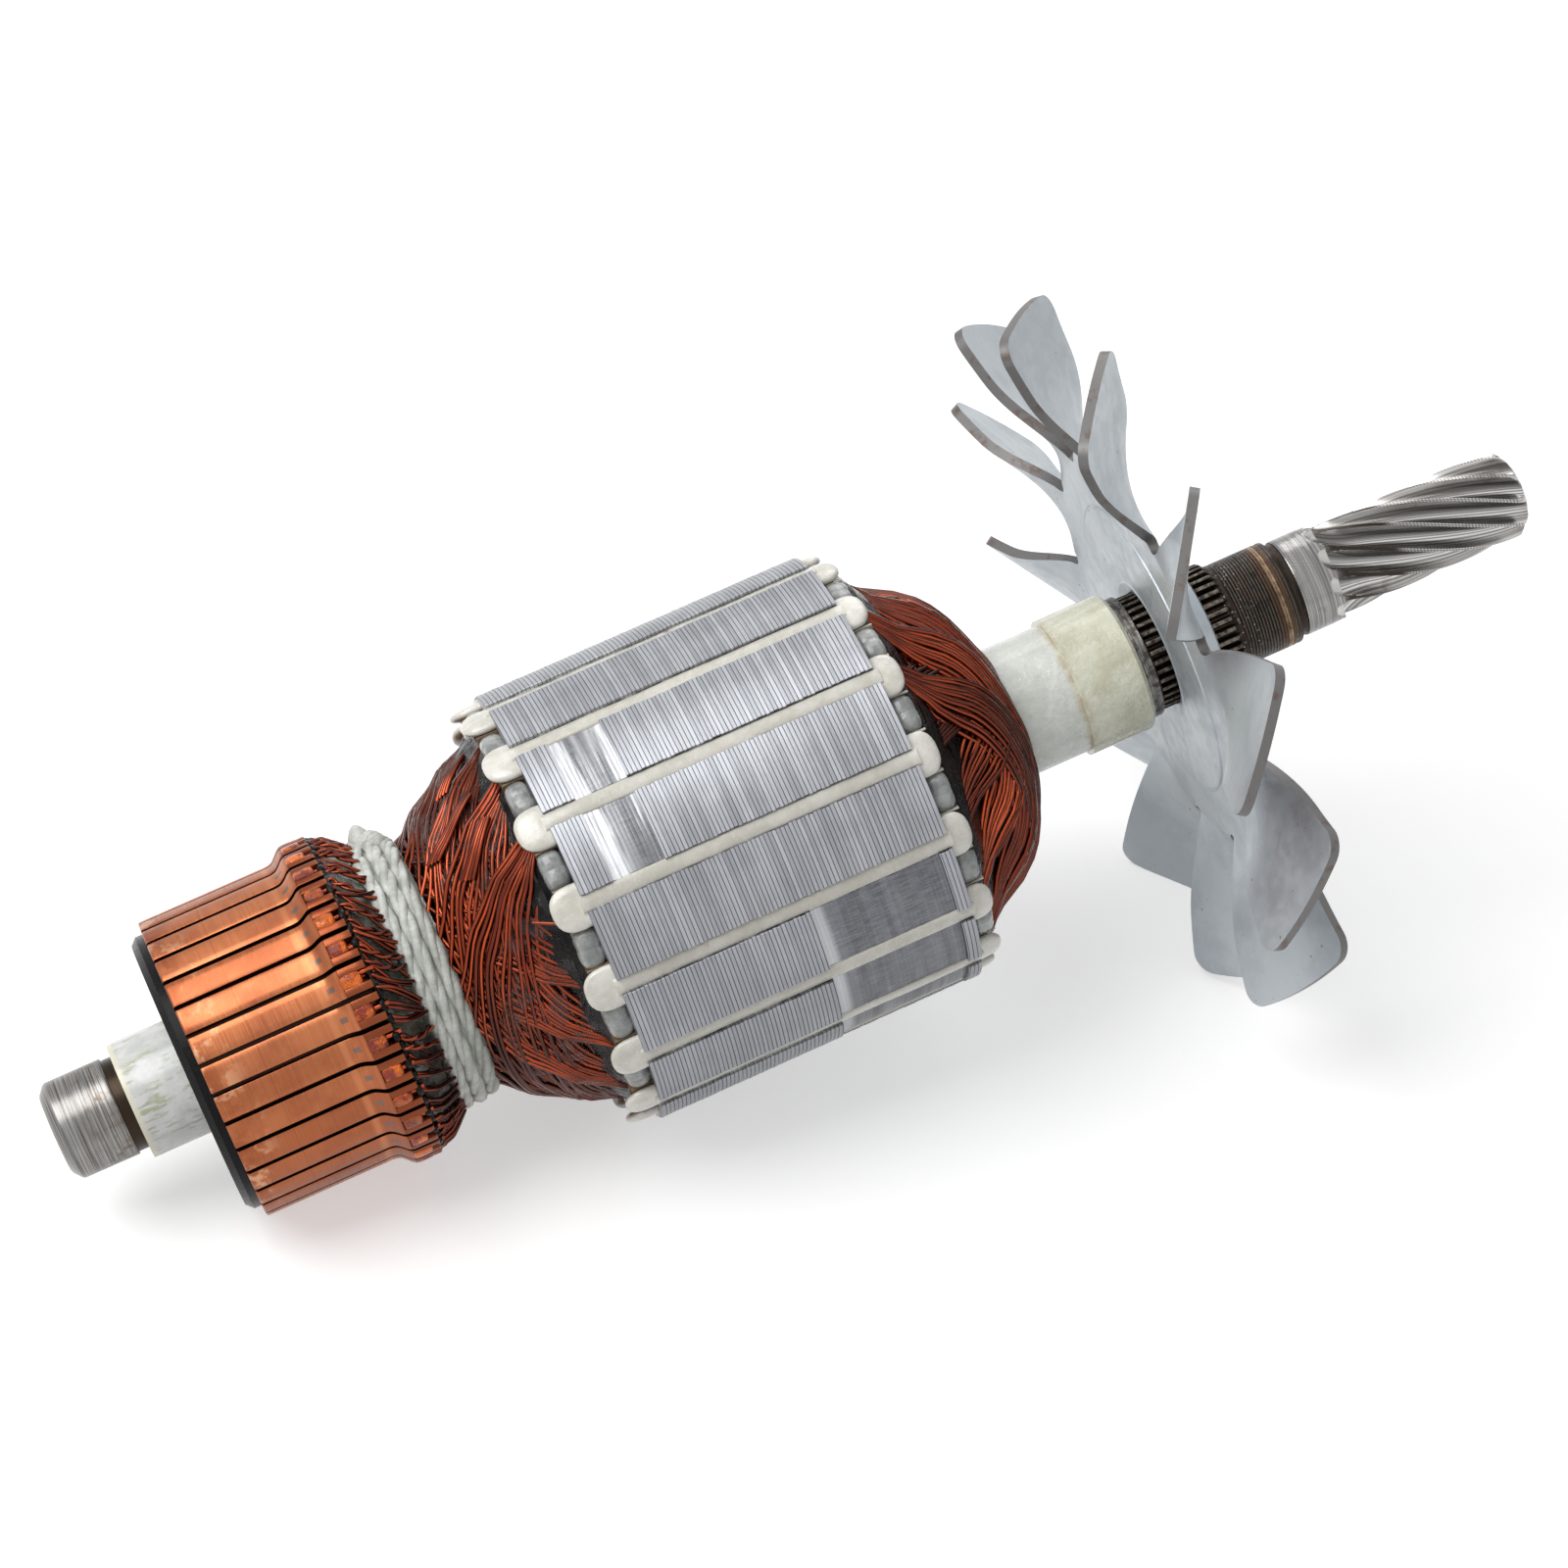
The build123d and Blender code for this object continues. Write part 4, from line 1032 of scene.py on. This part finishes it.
front_resin = make_head_resin("front_head_resin", FRONT_PROFILE, 31)
rear_resin = make_head_resin("rear_head_resin", REAR_PROFILE, 37)
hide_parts("armature_winding")
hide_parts("armature_winding")
head_wires("front_head_wires", FRONT_PROFILE, (14.4, 20.6), 11)
head_wires("rear_head_wires", REAR_PROFILE, (9.3, 16.4), 12)
make_varnish_film("front_head_varnish", FRONT_PROFILE[:12], 0.95, 0.42, 71)
make_loose_wires()

# Commutator bars
BAR_HALF, BAR_RADIUS, BAR_FOOT = 4.84, 18.6, 2.4
BAR_BEARINGS = BAR_PHASE + np.arange(BARS) * BAR_STEP


def make_bars():
    """The copper bars. The body is a sector carried along a turned outline with a smooth S ramp; past the
    ramp stand two cheeks beside the wire slot and a low floor between them."""
    bars = Piece("bar_surfaces")
    tint = random.uniform(0, 1, (BARS, 1, 1))

    def carry(s, radii, turns):
        """A cross section of radii and turns, carried along s in every bar."""
        sideways = radii * np.radians(turns) * (BAR_RADIUS / radii)
        points = placed(s[:, None], radii, BAR_BEARINGS[:, None, None] + turns)
        bars.tube(points, 0, pair(sideways, tint + 0 * radii))

    s = np.array([-46.45, -46.4, -46.25, -46.0, -42.0, -38.0, -34.0, -31.5, *np.arange(-30.9, -28.15, 0.18), -28.15])
    top = np.interp(s, [-46.45, -46.4, -46.25, -46, -30.6, -30.2, -29.8, -29.5, -29.0, -28.6, -28.3, -28.1],
                    [18.36, 18.5, 18.59, 18.6, 18.6, 18.63, 18.72, 18.87, 19.32, 19.75, 19.96, 20.06])[:, None]
    h = BAR_HALF
    drop = np.array([BAR_FOOT, 0.11, 0.03, 0, 0, 0, 0, 0, 0.03, 0.11, BAR_FOOT])
    carry(s, top - drop, np.array([-h, -h, -h + 0.06, -h + 0.22, -2.3, 0, 2.3, h - 0.22, h - 0.06, h, h]))
    s = np.array([-28.16, -28.1, -27.9, -27.0, -26.0, -25.1, -24.92, -24.85])
    top = np.array([19.9, 20.04, 20.1, 20.1, 20.1, 20.1, 20.02, 19.85])[:, None]
    cheek = np.array([2.14, 2.14, 2.25, 2.5, h - 0.25, h - 0.06, h, h])
    drop = np.array([BAR_FOOT, 0.12, 0.03, 0, 0, 0.03, 0.12, BAR_FOOT])
    carry(s, top - drop, cheek)
    carry(s, top - drop[::-1], -cheek[::-1])
    carry(s, top - np.array([2.9, 2.2, 2.2, 2.9]), np.array([-2.2, -2.2, 2.2, 2.2]))
    piece = bars.build([finish["copper"]], 40)
    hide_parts(*[f"commutator_bar_{number:02d}" for number in range(1, 33)])


def make_riser_parts():
    """What lies in and behind the risers: amber varnish blocks over the wire ends in the slots, dark varnish
    drops behind each bar, and round wire ends that leave the slots."""
    piece = Piece("riser_wires")

    def uneven(middle, spread, shape=BARS):
        return middle + random.normal(0, spread, shape)

    size = (uneven(1.25, 0.08), uneven(0.92, 0.05), 0.95)
    pillows(piece, uneven(-27.0, 0.1), uneven(19.32, 0.06), BAR_BEARINGS, size, 10, 16, 0.45, finish=1)
    size = (0.5, uneven(0.8, 0.12), 0.95)
    pillows(piece, -24.9, uneven(19.05, 0.12), uneven(BAR_BEARINGS, 0.4), size, 8, 12, 0.7, finish=2)
    size = (0.45, uneven(0.7, 0.1), 0.75)
    pillows(piece, -24.75, uneven(18.85, 0.15), BAR_BEARINGS + 5.6, size, 8, 12, 0.7, finish=2)
    t = np.linspace(0, 1, 10)[None, :]
    for level in (0, 1):
        r = 18.6 + 0.75 * level + 0.15 * np.sin(np.pi * t) + random.normal(0, 0.05, (BARS, 1))
        lay(piece, -26.4 + 2.2 * t, r, BAR_BEARINGS[:, None], 0.7, 8, aside=uneven(0, 0.5, (BARS, 1)))
    piece.build([finish["wire"], finish["amber"], finish["dark_resin"]], 80, weld=True)


def lead_radius(s):
    """The cone that the lead wires lie on."""
    return np.interp(s, [-25.2, -24.3, -23.0, -21.3, -20.5], [19.0, 19.0, 18.4, 17.0, 16.4])


def make_leads():
    """Lead wires over the cone: pairs that leave each bar and drift one way round the axis as they go in, some
    of them twisted together, with a few single wires across them."""
    piece = Piece("lead_wire_pairs")
    bearing = np.concatenate([BAR_BEARINGS, BAR_BEARINGS + 5.0])[:, None]
    pairs, singles = len(bearing), 40
    t = np.linspace(0, 1, 22)[None, :]
    drift = 8.0 + random.normal(0, 4.0, (pairs, 1))
    twists = np.where(random.uniform(0, 1, (pairs, 1)) < 0.4, 1.6, 0.2) * 2 * np.pi
    phase = random.uniform(0, 2 * np.pi, (pairs, 1))
    bow = random.normal(0, 1.5, (pairs, 1))
    for half in (0, np.pi):
        swirl = phase + half + twists * t
        s = -24.9 + 4.2 * t + 0.24 * np.sin(swirl)
        angle = bearing + drift * t + bow * np.sin(np.pi * t) + 0.85 * np.cos(swirl)
        r = lead_radius(s) + 0.16 + 0.22 * np.sin(swirl) + 0.2 * np.sin(np.pi * t)
        lay(piece, s, r, angle, 0.46, 7, random.uniform(0, 0.55, pairs))
    angle = random.uniform(0, 360, (singles, 1)) + random.uniform(6, 22, (singles, 1)) * t
    s = -24.4 + 3.6 * t
    lay(piece, s, lead_radius(s) + 0.05, angle, 0.42, 6, random.uniform(0, 0.6, singles))
    piece.build([finish["wire"]], 80)


def make_twine_cords():
    """The twine: a cord of three strands twisted together goes three times round the neck, each turn straight
    for most of its way and crossing to the next one behind the knot. The knot is one loop over two pointed
    lumps."""
    piece = Piece("twine_cords")
    turned(piece, [(-21.2, 13.0), (-21.2, 15.6), (-20.6, 16.05), (-16.4, 15.75), (-15.8, 15.2), (-15.8, 13.0)], 128)
    rounds = 3.0 * np.linspace(0, 1, 560)[None, :]
    strand = np.arange(3)[:, None]
    angle = -41 + 360 * rounds
    turn = np.radians(angle)
    crossing = np.floor(rounds - 1e-9) + smooth_step(0.82, 1.0, (rounds - 1e-9) % 1)
    along = -20.25 + 1.78 * np.minimum(crossing, 2.0) + 0.13 * waves(43, 5, turn, top=2.6)
    middle = np.interp(along, [-20.5, -18.5, -16.4], [16.0, 15.9, 15.35]) + 0.08 * waves(44, 5, turn, top=3.0)
    twist = turn * 9 + strand * 2 * np.pi / 3 + 0.5 * waves(46, 5, turn, top=4.0)
    s = along + 0.42 * np.cos(twist) + 0.1 * waves(41, 6, turn * 3, strand, top=6.0)
    r = middle + 0.3 * np.sin(twist) + 0.1 * waves(42, 6, turn * 3, strand, top=6.0)
    lay(piece, s, r, angle, 1.16, 9)
    loop = 2 * np.pi * np.linspace(0, 1, 60)[None, :]
    twist = loop * 5 + strand * 2 * np.pi / 3
    s = -18.8 + 1.5 * np.cos(loop) + 0.25 * np.cos(twist)
    r = 16.7 + 0.35 * np.sin(2 * loop) + 0.25 * np.sin(twist)
    lay(piece, s, r, -38 + 6.0 * np.sin(loop), 0.8, 8)
    pillows(piece, [-19.1, -18.0], [15.9, 15.7], [-40.0, -36.0], ([1.7, 1.9], [2.2, 2.4], [3.1, 2.2]), 14, 20, 1.2)
    cords = piece.build([finish["twine"]], 80, weld=True)
    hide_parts("twine_band")


RISER_OUTLINE = np.array([(-25.6, 19.9), (-25.0, 19.95), (-24.4, 19.5), (-23.6, 18.95), (-22.6, 18.2), (-21.4, 17.2)])
make_bars()
make_riser_parts()
make_varnish_film("riser_varnish", RISER_OUTLINE, 0.1, 0.2, 72)
make_leads()
make_twine_cords()

# Stage, camera and light
CAMERA_AT = (-39.565, 33.183, 573.094)
CAMERA_AXES = ((0.9079881, -0.3983154, 0.1300095), (0.4017249, 0.9157604, 0.0), (-0.1190576, 0.0522281, 0.9915127))
PHOTO_TURN, WORLD_LIGHT, WHITE = -41.0, 0.32, (1, 1, 1, 1)


def seen(tree):
    """1 for rays from the camera and for reflected or transmitted ones, and 0 for the soft light."""
    path = tree.nodes.new("ShaderNodeLightPath").outputs
    either = math(tree, "MAXIMUM", path["Is Camera Ray"], path["Is Glossy Ray"])
    return math(tree, "MAXIMUM", either, path["Is Transmission Ray"])


def plain_material(name, base, camera_light):
    """White floor or backdrop: plain reflection, with some light of its own for the camera and for gloss."""
    material = bpy.data.materials.new(name)
    material.use_nodes = True
    tree = material.node_tree
    shader = tree.nodes["Principled BSDF"]
    for label, value in (("Base Color", base), ("Roughness", 0.9), ("Specular IOR Level", 0.0)):
        shader.inputs[label].default_value = value
    glow = put(tree, "ShaderNodeEmission", Color=WHITE, Strength=math(tree, "MULTIPLY", seen(tree), camera_light))
    both = put(tree, "ShaderNodeAddShader", i0=shader.outputs[0], i1=glow.outputs[0])
    feed(tree, tree.nodes["Material Output"].inputs["Surface"], both.outputs[0])
    return material


def lamp(name, at, aim, size, power):
    """A soft square lamp at a place, turned towards its aim, all in metres."""
    data = bpy.data.lights.new(name, "AREA")
    data.shape = "SQUARE"
    data.size = size
    data.energy = power
    holder = bpy.data.objects.new(name, data)
    bpy.context.scene.collection.objects.link(holder)
    holder.location = at
    holder.rotation_euler = (Vector(aim) - Vector(at)).to_track_quat("-Z", "Y").to_euler()


floor_mesh = bpy.data.meshes.new("floor")
floor_mesh.from_pydata([(-3, -3, 0), (3, -3, 0), (3, 3, 0), (-3, 3, 0)], [], [(0, 1, 2, 3)])
floor = bpy.data.objects.new("floor", floor_mesh)
floor_mesh.materials.append(plain_material("floor white", (0.8, 0.8, 0.8, 1), 0.5))
bpy.context.scene.collection.objects.link(floor)

world = bpy.data.worlds.new("studio")
bpy.context.scene.world = world
world.use_nodes = True
background = world.node_tree.nodes["Background"].inputs
background["Color"].default_value = WHITE
brightness = math(world.node_tree, "MULTIPLY_ADD", seen(world.node_tree), 1 - WORLD_LIGHT, WORLD_LIGHT)
feed(world.node_tree, background["Strength"], brightness)

lamp("lamp_left", (-0.35, 0.0, 0.6), (0, 0, 0.03), 0.5, 3.2)
lamp("lamp_back", (0.25, 0.5, 0.45), (0, 0, 0.03), 0.4, 0.9)

photo_turn = radians(PHOTO_TURN)
photo_up = np.cos(photo_turn) * UP + np.sin(photo_turn) * ASIDE
photo_near = -np.sin(photo_turn) * UP + np.cos(photo_turn) * ASIDE
basis = np.stack([ALONG, photo_up, photo_near], axis=1)
camera_data = bpy.data.cameras.new("camera")
camera_data.sensor_width = 36.0
camera_data.lens = 112.5
camera_data.clip_start = 0.01
camera = bpy.data.objects.new("camera", camera_data)
bpy.context.scene.collection.objects.link(camera)
axes = Matrix((basis @ np.array(CAMERA_AXES).T).tolist()).to_4x4()
camera.matrix_world = Matrix.Translation(ORIGIN + basis @ np.array(CAMERA_AT) * MM) @ axes
bpy.context.scene.camera = camera
bpy.context.scene.view_settings.view_transform = "Standard"
